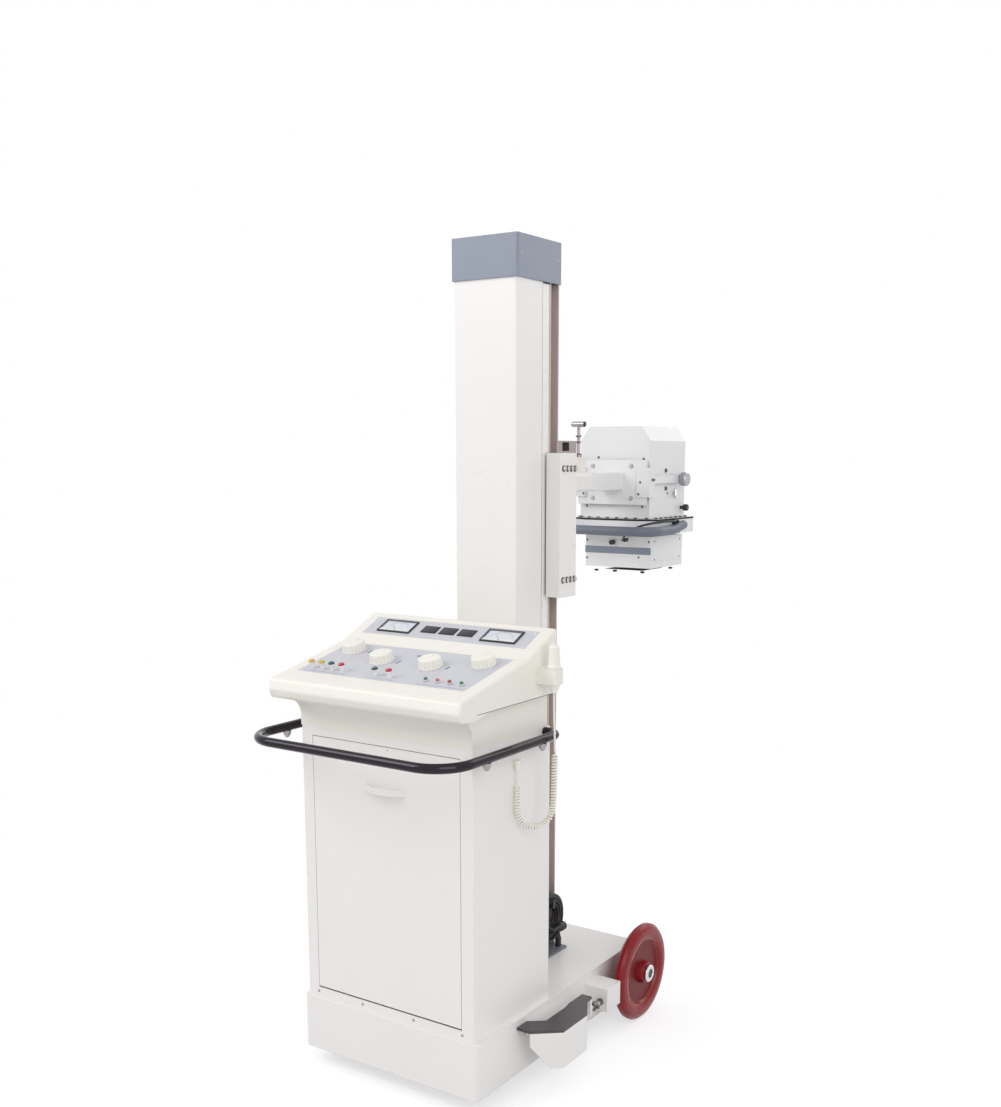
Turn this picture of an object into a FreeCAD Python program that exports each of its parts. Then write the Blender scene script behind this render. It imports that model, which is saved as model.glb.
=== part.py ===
import FreeCAD, Part
import Sketcher
import math
import os

# A mobile radiographic X-ray unit. The console cabinet stands at the front of a low chassis, and a
# counterbalanced column behind it carries the arm, the yoke and the tube head out over the rear.
# X is to the operator's right, Y runs from the operator to the rear, Z is up from the floor.
# Lengths are in millimetres. In the sheet, y is counted from the front of the plinth.

SIZES = {
    # chassis and plinth
    "chassis_width": 515, "chassis_length": 749, "skirt_level": 42, "deck_level": 175,
    "chassis_wall": 4, "chassis_corner": 10,
    # rear axle, wheels and bearing blocks
    "axle_y": 672, "axle_radius": 12.5, "wheel_radius": 127, "wheel_width": 32, "wheel_inner_x": 294,
    "hub_radius": 27, "hub_reach": 6, "web_thickness": 9, "rim_radius": 81, "tyre_shoulder": 7,
    "block_width": 28, "block_length": 56, "nut_radius": 19, "nut_height": 8,
    "collar_radius": 20, "seat_gap": 0.3, "running_gap": 0.05,
    # front casters
    "caster_radius": 37.5, "caster_width": 24, "caster_x": 180, "caster_y": 95, "caster_trail": 28,
    "caster_plate_level": 120, "caster_pad": 80, "kingpin_radius": 6, "fork_radius": 26,
    "fork_plate": 6, "fork_leg": 4, "fork_gap": 2, "caster_pin": 4, "kingpin_length": 16,
    # brake pedals
    "brake_box_reach": 322, "brake_box_front": 473, "brake_box_rear": 541, "brake_box_low": 90,
    "brake_box_top": 150, "pedal_rod_x": 306, "pedal_rod_level": 118, "pedal_rod_radius": 5,
    "pedal_rod_inset": 27, "tread_level": 160, "tread_plate": 6, "tread_front": 157,
    "tread_tongue": 42, "skirt_slant": 64, "jumper_run": 60,
    "tread_corner_y": 207, "tread_side_y": 315, "tread_tail_y": 380, "pedal_rear": 400,
    "tread_corner_x": 295, "tread_outer": 356, "tread_band": 60, "skirt_low": 66, "skirt_sheet": 3,
    "pedal_gap": 2, "lug_plate": 6, "lug_half": 14,
    # cabinet and door
    "cabinet_width": 494, "cabinet_front": 4, "cabinet_rear": 317, "cabinet_top": 847,
    "cabinet_wall": 3, "cabinet_corner": 5, "door_opening_width": 426, "door_opening_low": 201,
    "door_opening_top": 826, "door_gap": 1.5, "door_foot_gap": 4, "door_depth": 18, "door_skin": 3,
    "hinge_inset": 6, "hinge_pin": 2.5, "hinge_lug": 6, "pull_level": 725, "pull_width": 120,
    "pull_reach": 22, "pull_bar": 4, "pull_height": 15,
    # console
    "console_width": 542, "console_rear": 300, "console_top": 1079, "kink_y": 183,
    "kink_level": 1023, "lip_y": 70, "lip_level": 967, "lip_nose": 78, "lip_nose_level": 942,
    "lip_foot": 34, "lip_foot_level": 916, "shelf_y": 40, "shelf_level": 932, "cove_radius": 44,
    "cove_level": 870, "console_wall": 4, "lip_fillet": 12, "console_edge": 6, "panel_plate": 2,
    "panel_lap": 9,
    # lower control panel, measured up the slope from the lip
    "panel_width": 474, "panel_start": 57, "panel_end": 251,
    "knob_inner_x": 70, "knob_outer_x": 187, "knob_inner_v": 164, "knob_outer_v": 205,
    "knob_radius": 29, "knob_height": 22, "knob_grip": 27.5, "knob_skirt": 4, "knob_shaft": 4,
    "knob_shaft_length": 14, "flute_radius": 2.2, "flute_count": 18,
    "button_v": 79, "button_pitch": 30, "button_first_x": -208, "button_pair_x": -20,
    "button_pair_pitch": 40, "button_stem": 4.5, "button_cap": 7.5, "button_height": 21,
    "button_cap_height": 7, "button_depth": 8,
    "lamp_v": 84, "lamp_pitch": 32, "lamp_first_x": 117, "lamp_radius": 6, "lamp_height": 6,
    "lamp_stem": 4,
    # meter panel, measured up the steeper slope from the kink
    "meter_panel_width": 476, "meter_panel_start": 40, "meter_panel_end": 112,
    "meter_x": 153, "meter_v": 78, "meter_width": 98, "meter_length": 50, "meter_depth": 26,
    "meter_rim": 3, "meter_frame": 4, "needle_length": 34, "needle_pivot": 17, "needle_hub": 3,
    "needle_plate": 0.8, "needle_width": 1.6, "needle_rest": 130,
    "display_pitch": 54, "display_width": 44, "display_length": 28, "display_rim": 1.5,
    # hand switch and its holder
    "handset_x": 308, "handset_y": 232, "handset_level": 946, "handset_length": 108,
    "handset_radius": 13, "handset_lip": 16, "handset_foot": 9, "holder_low": 965,
    "holder_top": 1000, "holder_half": 18, "holder_reach": 324, "handset_button_radius": 6,
    "handset_button_rise": 4, "handset_button_depth": 7, "handset_button_travel": 3,
    # hand switch cord and its gland
    "curl_radius": 8, "lead_radius": 3, "gland_radius": 7, "gland_length": 14, "gland_y": 160,
    "gland_level": 792, "gland_reach": 12, "loop_level": 640, "loop_shoulder": 26,
    # handle rail
    "rail_stand": 40, "rail_reach": 145, "rail_level": 838, "rail_tube": 11, "rail_front_bend": 85,
    "rail_rear_bend": 28, "rail_rear_y": 290,
    # column
    "column_width": 181, "column_front": 408, "cover_rear": 520, "column_top": 1879,
    "cover_sheet": 2, "cover_corner": 6, "post_front": 424, "post_rear": 555, "post_wall": 5,
    "post_top": 1835, "post_drop": 3, "foot_plate": 6, "foot_half": 126, "foot_front": 395, "foot_rear": 600,
    "guide_rear": 596, "guide_depth": 38, "guide_wall": 4,
    "cap_overhang": 5, "cap_rear": 600, "cap_top": 1977, "cap_wall": 2, "cap_ledge": 6,
    # rope, pulley and counterweight
    "rope_radius": 2.5, "rope_front_y": 487.5, "pulley_radius": 44, "pulley_level": 1915,
    "pulley_flange": 49, "pulley_half": 8, "pulley_hub": 12, "pulley_pin": 6, "cheek_x": 16,
    "cheek_plate": 6, "bridge_plate": 8, "cheek_front": 505, "weight_low": 580, "weight_height": 420,
    "weight_half": 70, "weight_front": 440, "weight_rear": 535, "weight_lug": 12,
    # carriage and rollers
    "carriage_half": 136, "carriage_front": 536, "carriage_rear": 614, "carriage_low": 1119,
    "carriage_top": 1475, "carriage_wall": 4, "mast_gap": 3.5, "roller_radius": 16.2,
    "roller_inner_x": 62, "roller_width": 22, "roller_pin": 5, "roller_boss": 12,
    "roller_top_inset": 38, "roller_low_inset": 43, "rope_lug_drop": 95, "rope_lug_height": 20,
    # arm socket, lock and arm
    "arm_level": 1397.5, "arm_half": 37, "arm_height": 49, "socket_half": 70, "socket_low": 1335,
    "socket_top": 1506, "socket_rear": 720, "socket_slot_y": 650, "socket_slot_length": 34,
    "socket_slot_height": 22, "socket_bar": 4, "boss_rear": 868.7, "journal_radius": 20,
    "journal_length": 98, "arm_fillet": 8, "lock_y": 849, "lock_half": 14, "lock_lug_rise": 42,
    "lock_rod": 4.5, "lock_rise": 88, "lock_grip": 7.5, "lock_grip_half": 18, "lock_depth": 24,
    # yoke
    "yoke_front": 1036, "yoke_plate": 6, "yoke_half": 110, "yoke_low": 1332, "yoke_top": 1457,
    "bracket_inner_x": 83, "bracket_low": 1353, "bracket_top": 1436, "bracket_rear": 1062,
    "side_bar_inner": 117, "side_bar_plate": 6, "side_bar_half": 11, "pivot_y": 1220,
    "pivot_level": 1402, "pivot_boss": 16, "trunnion_radius": 8, "stud_radius": 4,
    "stud_end": 140, "pivot_knob_radius": 20, "pivot_knob_length": 24,
    # tube head
    "head_half": 112, "head_front": 1053, "head_rear": 1275, "head_low": 1292, "head_top": 1550,
    "head_chamfer_x": 28, "head_chamfer_z": 40, "head_wall": 3,
    "pan_half": 137, "pan_front": 1030, "pan_rear": 1298, "pan_low": 1248, "pan_chamfer_x": 52,
    "pan_chamfer_y": 28, "pan_rear_cut": 10, "pan_cup_half": 100, "pan_floor": 8, "port_radius": 40,
    "insert_radius": 45, "insert_length": 170, "insert_level": 1395, "insert_foot": 30,
    # ring handle
    "ring_half": 151, "ring_front": 985, "ring_level": 1260, "ring_tube": 13, "ring_bend": 60,
    "ring_rise_y": 1130, "ring_end": 1192, "ring_end_rise": 12, "ring_end_bend": 180,
    "ring_lug_y": 1098, "ring_lug_pitch": 64, "ring_lug": 10,
    # collimator
    "collimator_half": 108, "collimator_front": 1076, "collimator_rear": 1280,
    "collimator_low": 1150, "collimator_top": 1240, "collimator_neck": 60, "collimator_y": 1178,
    "collimator_edge": 5, "window_half": 62, "window_depth": 18, "shutter_x": -14,
    "shutter_level": 1222, "shutter_knob": 7, "shutter_reach": 14, "shutter_shaft": 3,
    "shutter_depth": 10, "jumper_radius": 2.5, "jumper_plug": 6, "jumper_y": 1160,
    "jumper_level": 1283, "jumper_x": 28, "jumper_end_level": 1230,
    # mains lead put away on its hook
    "hook_low": 306, "hook_bar": 8, "hook_reach": 128, "hook_half": 6, "hook_plate": 3,
    "coil_x": 108, "coil_y": 533, "coil_inner": 40, "coil_outer": 66, "coil_half": 14,
    "mains_radius": 4, "plug_radius": 14, "outlet_radius": 8, "outlet_height": 22,
    # power unit inside the cabinet
    "power_half": 190, "power_front": 132, "power_rear": 296, "power_top": 520,
    "terminal_radius": 22, "terminal_height": 60, "terminal_x": 110,
}


class Size:
    """A length from the sheet, kept as its expression and as its present value."""

    def __init__(self, text, value):
        self.text = text
        self.value = float(value)

    def __add__(self, other):
        other = size(other)
        return Size(f"({self.text} + {other.text})", self.value + other.value)

    def __sub__(self, other):
        other = size(other)
        return Size(f"({self.text} - {other.text})", self.value - other.value)

    def __mul__(self, other):
        other = size(other)
        return Size(f"({self.text} * {other.text})", self.value * other.value)

    def __truediv__(self, other):
        other = size(other)
        return Size(f"({self.text} / {other.text})", self.value / other.value)

    def __radd__(self, other):
        return size(other) + self

    def __rsub__(self, other):
        return size(other) - self

    def __rmul__(self, other):
        return size(other) * self

    def __neg__(self):
        return Size(f"(0 - {self.text})", -self.value)


def size(value):
    return value if isinstance(value, Size) else Size(repr(value), value)


def root(square):
    return Size(f"sqrt({square.text})", math.sqrt(square.value))


class Sheet:
    """The driving dimensions, one named cell each."""

    def __init__(self, document, sizes):
        sheet = document.addObject("Spreadsheet::Sheet", "dims")
        for row, (alias, value) in enumerate(sizes.items(), start=1):
            sheet.set(f"A{row}", alias)
            sheet.set(f"B{row}", str(value))
            sheet.setAlias(f"B{row}", alias)
            setattr(self, alias, Size(f"dims.{alias}", value))


doc = FreeCAD.newDocument("mobile_xray_unit")
d = Sheet(doc, SIZES)
doc.recompute()

# The row's origin is under the middle of the box, so y is shifted by half of its two reaches.
SHIFT = (d.rail_reach + d.rail_tube - d.pan_rear) / 2
ZERO = size(0)
NORMALS = {"x": "YZ_Plane", "y": "XZ_Plane", "z": "XY_Plane"}
TURNS = {
    "x": FreeCAD.Rotation(FreeCAD.Vector(0, 1, 0), 90),
    "y": FreeCAD.Rotation(FreeCAD.Vector(1, 0, 0), -90),
    "z": FreeCAD.Rotation(),
}
parts = []


def bind(item, **values):
    """Ties properties to expressions; a double underscore in a name stands for a dot."""
    for name, value in values.items():
        item.setExpression(name.replace("__", "."), size(value).text)


def seat(item, x, y, z):
    bind(item, Placement__Base__x=x, Placement__Base__y=size(y) + SHIFT, Placement__Base__z=z)
    return item


def keep(item, name):
    """Marks an object as a sub-part: its label names the file."""
    item.Label = name
    parts.append(item)
    return item


# Part primitives

def box(name, x, y, z):
    item = doc.addObject("Part::Box", name)
    bind(item, Length=size(x[1]) - x[0], Width=size(y[1]) - y[0], Height=size(z[1]) - z[0])
    return seat(item, x[0], y[0], z[0])


def cylinder(name, axis, centre, reach, radius):
    item = doc.addObject("Part::Cylinder", name)
    item.Placement = FreeCAD.Placement(FreeCAD.Vector(), TURNS[axis])
    bind(item, Radius=radius, Height=size(reach[1]) - reach[0])
    u, v = centre
    spots = {"x": (reach[0], u, v), "y": (u, reach[0], v), "z": (u, v, reach[0])}
    return seat(item, *spots[axis])


def fuse(name, items):
    item = doc.addObject("Part::MultiFuse", name)
    item.Shapes = items
    return item


def cut(name, base, tool):
    item = doc.addObject("Part::Cut", name)
    item.Base = base
    item.Tool = tool
    return item


def mirror(name, source):
    item = doc.addObject("Part::Mirroring", name)
    item.Source = source
    item.Base = FreeCAD.Vector(0, 0, 0)
    item.Normal = FreeCAD.Vector(1, 0, 0)
    return item


def group(name, items):
    item = doc.addObject("Part::Compound", name)
    item.Links = items
    return item


# Bodies and their sketches

def body(name, at=None):
    item = doc.addObject("PartDesign::Body", name)
    x, y, z = at or (ZERO, ZERO, ZERO)
    return seat(item, x, y, z)


def rect(u0, u1, v0, v1):
    return [(u0, v0), (u1, v0), (u1, v1), (u0, v1)]


def circle(u, v, radius):
    return {"u": u, "v": v, "radius": radius}


def pin_point(sketch, geometry, point, u, v):
    """Fixes one point of a sketch at two distances from its origin."""
    for kind, value in (("DistanceX", size(u)), ("DistanceY", size(v))):
        index = sketch.addConstraint(Sketcher.Constraint(kind, -1, 1, geometry, point, value.value))
        sketch.setExpression(f"Constraints[{index}]", value.text)


def draw_polygon(sketch, points):
    first = sketch.GeometryCount
    corners = [FreeCAD.Vector(size(u).value, size(v).value, 0) for u, v in points]
    for here, there in zip(corners, corners[1:] + corners[:1]):
        sketch.addGeometry(Part.LineSegment(here, there), False)
    for index, (u, v) in enumerate(points):
        after = first + (index + 1) % len(points)
        sketch.addConstraint(Sketcher.Constraint("Coincident", first + index, 2, after, 1))
        pin_point(sketch, first + index, 1, u, v)


def draw_circle(sketch, loop):
    centre = FreeCAD.Vector(size(loop["u"]).value, size(loop["v"]).value, 0)
    radius = size(loop["radius"])
    ring = Part.Circle(centre, FreeCAD.Vector(0, 0, 1), radius.value)
    index = sketch.addGeometry(ring, False)
    pin_point(sketch, index, 3, loop["u"], loop["v"])
    held = sketch.addConstraint(Sketcher.Constraint("Radius", index, radius.value))
    sketch.setExpression(f"Constraints[{held}]", radius.text)


def sketch_on(owner, axis, level, loops):
    """A sketch square to an axis of the body, at a level along it."""
    name = f"{owner.Name}_outline{len(owner.Group)}"
    sketch = owner.newObject("Sketcher::SketchObject", name)
    plane = next(f for f in owner.Origin.OriginFeatures if f.Role == NORMALS[axis])
    sketch.AttachmentSupport = (plane, [""])
    sketch.MapMode = "FlatFace"
    bind(sketch, AttachmentOffset__Base__z=-size(level) if axis == "y" else size(level))
    for loop in loops:
        if isinstance(loop, dict):
            draw_circle(sketch, loop)
        else:
            draw_polygon(sketch, loop)
    return sketch


def pad(owner, axis, loops, low, high):
    sketch = sketch_on(owner, axis, low, loops)
    feature = owner.newObject("PartDesign::Pad", f"{owner.Name}_pad{len(owner.Group)}")
    feature.Profile = sketch
    feature.Reversed = axis == "y"
    bind(feature, Length=size(high) - low)
    return feature


def pocket(owner, axis, loops, low, high):
    """Cuts from a low level to a high one, and makes sure that it took something away."""
    doc.recompute()
    before = owner.Shape.Volume
    sketch = sketch_on(owner, axis, low, loops)
    feature = owner.newObject("PartDesign::Pocket", f"{owner.Name}_cut{len(owner.Group)}")
    feature.Profile = sketch
    feature.Reversed = axis != "y"
    bind(feature, Length=size(high) - low)
    doc.recompute()
    if owner.Shape.Volume >= before:
        raise RuntimeError(f"{feature.Name} cuts nothing")
    return feature


def revolve(owner, axis, points):
    """Turns an outline about the body's X or Z axis: each point is place along it and radius."""
    if axis == "x":
        sketch = sketch_on(owner, "z", ZERO, [points])
    else:
        sketch = sketch_on(owner, "y", ZERO, [[(radius, along) for along, radius in points]])
    feature = owner.newObject("PartDesign::Revolution", f"{owner.Name}_turn{len(owner.Group)}")
    feature.Profile = sketch
    feature.ReferenceAxis = (sketch, ["H_Axis" if axis == "x" else "V_Axis"])
    feature.Angle = 360
    return feature


def fillet(owner, radius, chosen):
    """Rounds the edges of the body that a test picks."""
    doc.recompute()
    tip = owner.Tip
    names = [f"Edge{i}" for i, edge in enumerate(tip.Shape.Edges, start=1) if chosen(edge)]
    feature = owner.newObject("PartDesign::Fillet", f"{owner.Name}_round{len(owner.Group)}")
    feature.Base = (tip, names)
    bind(feature, Radius=radius)
    return feature


def straight(edge, axis):
    """True for a straight edge that runs along an axis."""
    if edge.Curve.TypeId != "Part::GeomLine":
        return False
    along = edge.Curve.Direction
    return abs(getattr(along, axis)) > 0.999


def middle(edge):
    return edge.CenterOfMass


# Chassis, casters and wheels

def chassis_frame():
    """Sheet-steel deck with its skirt, the caster cross-member and the axle bearing blocks."""
    item = body("chassis_frame")
    half = d.chassis_width / 2
    inner = half - d.chassis_wall
    under_deck = d.deck_level - d.chassis_wall
    pad(item, "z", [rect(-half, half, ZERO, d.chassis_length)], d.skirt_level, d.deck_level)
    fillet(item, d.chassis_corner, lambda edge: straight(edge, "z"))
    pocket(item, "z", [rect(-inner, inner, d.chassis_wall, d.chassis_length - d.chassis_wall)],
           d.skirt_level, under_deck)
    pad_front = d.caster_y - d.caster_pad / 2
    pad(item, "z", [rect(-inner, inner, pad_front, pad_front + d.caster_pad)],
        d.caster_plate_level, under_deck)
    for side in (-1, 1):
        pad(item, "z", [circle(d.caster_x * side, d.caster_y, d.kingpin_radius)],
            d.caster_plate_level - d.kingpin_length, d.caster_plate_level)
        ends = sorted((inner * side, (inner - d.block_width) * side), key=lambda end: end.value)
        pad(item, "z", [rect(ends[0], ends[1], d.axle_y - d.block_length / 2,
                             d.axle_y + d.block_length / 2)],
            d.wheel_radius - d.block_length / 2, under_deck)
    pocket(item, "x", [circle(d.axle_y, d.wheel_radius, d.axle_radius + d.running_gap)], -half, half)
    keep(item, "chassis_frame")


def caster_fork():
    """Swivel fork: a plate round the king pin, two raked legs and the wheel's pin."""
    item = body("caster_fork_right", (d.caster_x, d.caster_y, ZERO))
    top = d.caster_plate_level - d.seat_gap
    bottom = top - d.fork_plate
    bore = d.kingpin_radius + d.running_gap
    pad(item, "z", [circle(ZERO, ZERO, d.fork_radius), circle(ZERO, ZERO, bore)], bottom, top)
    leg_inner = d.caster_width / 2 + d.fork_gap
    rake = [(-d.fork_radius / 2, bottom), (d.fork_radius / 2, bottom),
            (d.caster_trail + 2 * d.caster_pin, d.caster_radius + 2 * d.caster_pin),
            (d.caster_trail + 2 * d.caster_pin, d.caster_radius - 2 * d.caster_pin),
            (d.caster_trail - 2 * d.caster_pin, d.caster_radius - 2 * d.caster_pin),
            (d.caster_trail - 3 * d.caster_pin, d.caster_radius + 2 * d.caster_pin)]
    pad(item, "x", [rake], leg_inner, leg_inner + d.fork_leg)
    pad(item, "x", [rake], -leg_inner - d.fork_leg, -leg_inner)
    pad(item, "x", [circle(d.caster_trail, d.caster_radius, d.caster_pin)], -leg_inner, leg_inner)
    keep(item, "caster_fork_right")
    keep(mirror("caster_fork_left", item), "caster_fork_left")


def caster_wheel():
    item = body("caster_wheel_right", (d.caster_x, d.caster_y + d.caster_trail, d.caster_radius))
    half = d.caster_width / 2
    bore = d.caster_pin + d.running_gap
    revolve(item, "x", [(-half, bore), (half, bore), (half, 2.5 * d.caster_pin),
                        (half - 3, 2.5 * d.caster_pin), (half - 3, d.caster_radius - 10),
                        (half, d.caster_radius - 9), (half, d.caster_radius - 3),
                        (half - 3, d.caster_radius), (3 - half, d.caster_radius),
                        (-half, d.caster_radius - 3), (-half, d.caster_radius - 9),
                        (3 - half, d.caster_radius - 10), (3 - half, 2.5 * d.caster_pin),
                        (-half, 2.5 * d.caster_pin)])
    keep(item, "caster_wheel_right")
    keep(mirror("caster_wheel_left", item), "caster_wheel_left")


def rear_axle():
    """Fixed through shaft with a spacer collar and a nut for each wheel."""
    centre = (d.axle_y, d.wheel_radius)
    inner = d.wheel_inner_x - d.hub_reach - d.seat_gap
    outer = d.wheel_inner_x + d.wheel_width + d.hub_reach + d.seat_gap
    pieces = [cylinder("axle_shaft", "x", centre, (-outer - d.nut_height, outer + d.nut_height),
                       d.axle_radius)]
    for side, name in ((-1, "left"), (1, "right")):
        collar = sorted((d.chassis_width / 2 * side, inner * side), key=lambda end: end.value)
        pieces.append(cylinder(f"axle_collar_{name}", "x", centre, collar, d.collar_radius))
        nut = doc.addObject("Part::Prism", f"axle_nut_{name}")
        nut.Polygon = 6
        nut.Placement = FreeCAD.Placement(FreeCAD.Vector(), TURNS["x"])
        bind(nut, Circumradius=d.nut_radius, Height=d.nut_height)
        seat(nut, outer if side > 0 else -outer - d.nut_height, *centre)
        pieces.append(nut)
    keep(fuse("rear_axle", pieces), "rear_axle")


def rear_wheel():
    """Moulded wheel: proud hub, deep dished web, and a crowned rim with rounded shoulders."""
    item = body("rear_wheel_right", (d.wheel_inner_x, d.axle_y, d.wheel_radius))
    middle_x = d.wheel_width / 2
    web = d.web_thickness / 2
    hub = middle_x + d.hub_reach
    shoulder = d.tyre_shoulder
    half_outline = [(hub, d.axle_radius + d.running_gap), (hub, d.hub_radius - 2),
                    (hub - 2, d.hub_radius), (web, d.hub_radius + 4), (web, d.rim_radius),
                    (middle_x - 5, d.rim_radius + 4), (middle_x - 1.5, d.rim_radius + 10),
                    (middle_x, (d.rim_radius + d.wheel_radius) / 2 - 3),
                    (middle_x - 1, d.wheel_radius - 2 * shoulder),
                    (middle_x - 0.6 * shoulder, d.wheel_radius - 0.9 * shoulder),
                    (middle_x - 1.6 * shoulder, d.wheel_radius)]
    outline = [(middle_x + u, radius) for u, radius in half_outline]
    outline += [(middle_x - u, radius) for u, radius in reversed(half_outline)]
    revolve(item, "x", outline)
    keep(item, "rear_wheel_right")
    keep(mirror("rear_wheel_left", item), "rear_wheel_left")


def brake_boxes():
    """White box on each side of the deck that holds the pedal's rod and the brake."""
    block = box("brake_box", (d.chassis_width / 2, d.brake_box_reach),
                (d.brake_box_front, d.brake_box_rear), (d.brake_box_low, d.brake_box_top))
    bore = cylinder("brake_bore", "y", (d.pedal_rod_x, d.pedal_rod_level),
                    (d.brake_box_front - 1, d.brake_box_front + d.pedal_rod_inset + 1),
                    d.pedal_rod_radius + d.running_gap)
    right = cut("brake_box_right", block, bore)
    keep(group("brake_boxes", [right, mirror("brake_box_left", right)]), "brake_boxes")


def brake_pedal():
    """Foot pedal: a bent tread plate, its outer skirt, and the rod that it turns on."""
    item = body("brake_pedal_right")
    side = d.chassis_width / 2 + d.pedal_gap
    outer = d.tread_outer
    inner = outer - d.tread_band
    corner = d.tread_corner_x
    front = d.tread_front
    lug = (d.pedal_rod_x - d.lug_half, d.pedal_rod_x + d.lug_half)
    tread = [(side, front), (corner, front), (outer, d.tread_corner_y), (outer, d.tread_side_y),
             (lug[1], d.tread_tail_y), (lug[1], d.pedal_rear), (lug[0], d.pedal_rear),
             (lug[0], d.tread_side_y + 20), (inner, d.tread_side_y),
             (inner, d.tread_corner_y + 20), (side, front + d.tread_tongue)]
    under = d.tread_level - d.tread_plate
    pad(item, "z", [tread], under, d.tread_level)
    sheet = d.skirt_sheet
    strip = [(corner, front), (outer, d.tread_corner_y), (outer, d.tread_side_y),
             (outer - sheet, d.tread_side_y), (outer - sheet, d.tread_corner_y + sheet),
             (corner, front + 1.5 * sheet)]
    pad(item, "z", [strip], d.skirt_low, under)
    pocket(item, "y", [[(corner - 5, d.skirt_low - 1), (corner + 38, d.skirt_low - 1),
                        (corner - 5, d.skirt_low + d.skirt_slant)]], front - 5, d.tread_corner_y)
    pad(item, "y", [rect(lug[0], lug[1], d.pedal_rod_level - 9, under)],
        d.pedal_rear - d.lug_plate, d.pedal_rear)
    pad(item, "y", [circle(d.pedal_rod_x, d.pedal_rod_level, d.pedal_rod_radius)],
        d.pedal_rear - d.lug_plate, d.brake_box_front + d.pedal_rod_inset)
    keep(item, "brake_pedal_right")
    keep(mirror("brake_pedal_left", item), "brake_pedal_left")


# Column, counterbalance and carriage

def column_cover():
    """Bent front cover of the column."""
    item = body("column_cover")
    half = d.column_width / 2
    inner = half - d.cover_sheet
    back = d.column_front + d.cover_sheet
    outline = [(-half, d.cover_rear), (-half, d.column_front), (half, d.column_front),
               (half, d.cover_rear), (inner, d.cover_rear), (inner, back), (-inner, back),
               (-inner, d.cover_rear)]
    pad(item, "z", [outline], d.deck_level + d.foot_plate, d.column_top)
    front = d.column_front.value + 0.1
    fillet(item, d.cover_corner, lambda edge: straight(edge, "z") and middle(edge).y < front)
    keep(item, "column_cover")


def mast_post():
    """Square mast tube on its foot plate, with the bridge and cheeks that carry the pulley."""
    item = body("mast_post")
    half = d.column_width / 2 - d.cover_sheet - 0.2
    inner = half - d.post_wall
    foot = d.deck_level + d.foot_plate
    pad(item, "z", [rect(-d.foot_half, d.foot_half, d.foot_front, d.foot_rear)], d.deck_level, foot)
    pad(item, "z", [rect(-half, half, d.post_front, d.post_rear),
                    rect(-inner, inner, d.post_front + d.post_wall, d.post_rear - d.post_wall)],
        foot, d.post_top)
    for low, high in ((inner, half), (-half, -inner)):
        pad(item, "z", [rect(low, high, d.post_front, d.post_rear)], d.post_top,
            d.column_top - d.post_drop)
    bridge = d.post_top + d.bridge_plate
    pad(item, "z", [rect(-half, half, d.cheek_front, d.post_rear)], d.post_top, bridge)
    cheek_top = d.pulley_level + 2.5 * d.pulley_pin
    far = d.cheek_x + d.cheek_plate
    for low, high in ((d.cheek_x, far), (-far, -d.cheek_x)):
        pad(item, "z", [rect(low, high, d.cheek_front, d.post_rear)], bridge, cheek_top)
    centre_y = d.rope_front_y + d.pulley_radius
    pad(item, "x", [circle(centre_y, d.pulley_level, d.pulley_pin)], -far, far)
    keep(item, "mast_post")


def mast_rails():
    """Two steel channels up the back of the mast, open to the sides, in which the rollers run."""
    item = body("guide_channel")
    outer = d.column_width / 2
    inner = outer - d.guide_depth
    web = inner + d.guide_wall
    outline = [(outer, d.post_rear), (inner, d.post_rear), (inner, d.guide_rear),
               (outer, d.guide_rear), (outer, d.guide_rear - d.guide_wall),
               (web, d.guide_rear - d.guide_wall), (web, d.post_rear + d.guide_wall),
               (outer, d.post_rear + d.guide_wall)]
    pad(item, "z", [outline], d.deck_level + d.foot_plate, d.column_top)
    keep(group("mast_rails", [item, mirror("guide_channel_left", item)]), "mast_rails")


def column_cap():
    """Folded cap over the pulley, resting on the top of the cover and the rails."""
    item = body("column_cap")
    half = d.column_width / 2 + d.cap_overhang
    front = d.column_front - d.cap_overhang
    wall = d.cap_wall
    pad(item, "z", [rect(-half, half, front, d.cap_rear)], d.column_top, d.cap_top)
    fillet(item, d.cap_overhang, lambda edge: straight(edge, "z"))
    ledge = wall + d.cap_ledge
    pocket(item, "z", [rect(ledge - half, half - ledge, front + ledge, d.cap_rear - ledge)],
           d.column_top, d.column_top + wall)
    pocket(item, "z", [rect(wall - half, half - wall, front + wall, d.cap_rear - wall)],
           d.column_top + wall, d.cap_top - wall)
    keep(item, "column_cap")


def rope_pulley():
    item = body("rope_pulley", (ZERO, d.rope_front_y + d.pulley_radius, d.pulley_level))
    hub = d.cheek_x - d.seat_gap
    groove = d.pulley_radius - d.rope_radius - d.seat_gap
    side = [(hub, d.pulley_pin + d.running_gap), (hub, d.pulley_hub), (d.pulley_half, d.pulley_hub),
            (d.pulley_half, d.pulley_flange), (d.pulley_half - 3, d.pulley_flange),
            (d.rope_radius + 0.5, groove)]
    outline = side + [(-u, radius) for u, radius in reversed(side)]
    revolve(item, "x", outline)
    keep(item, "rope_pulley")


def counterweight():
    block = box("weight_block", (-d.weight_half, d.weight_half), (d.weight_front, d.weight_rear),
                (d.weight_low, d.weight_low + d.weight_height))
    lug = cylinder("weight_lug", "z", (ZERO, d.rope_front_y),
                   (d.weight_low + d.weight_height, d.weight_low + d.weight_height + d.weight_lug),
                   3 * d.rope_radius)
    keep(fuse("counterweight", [block, lug]), "counterweight")


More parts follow.
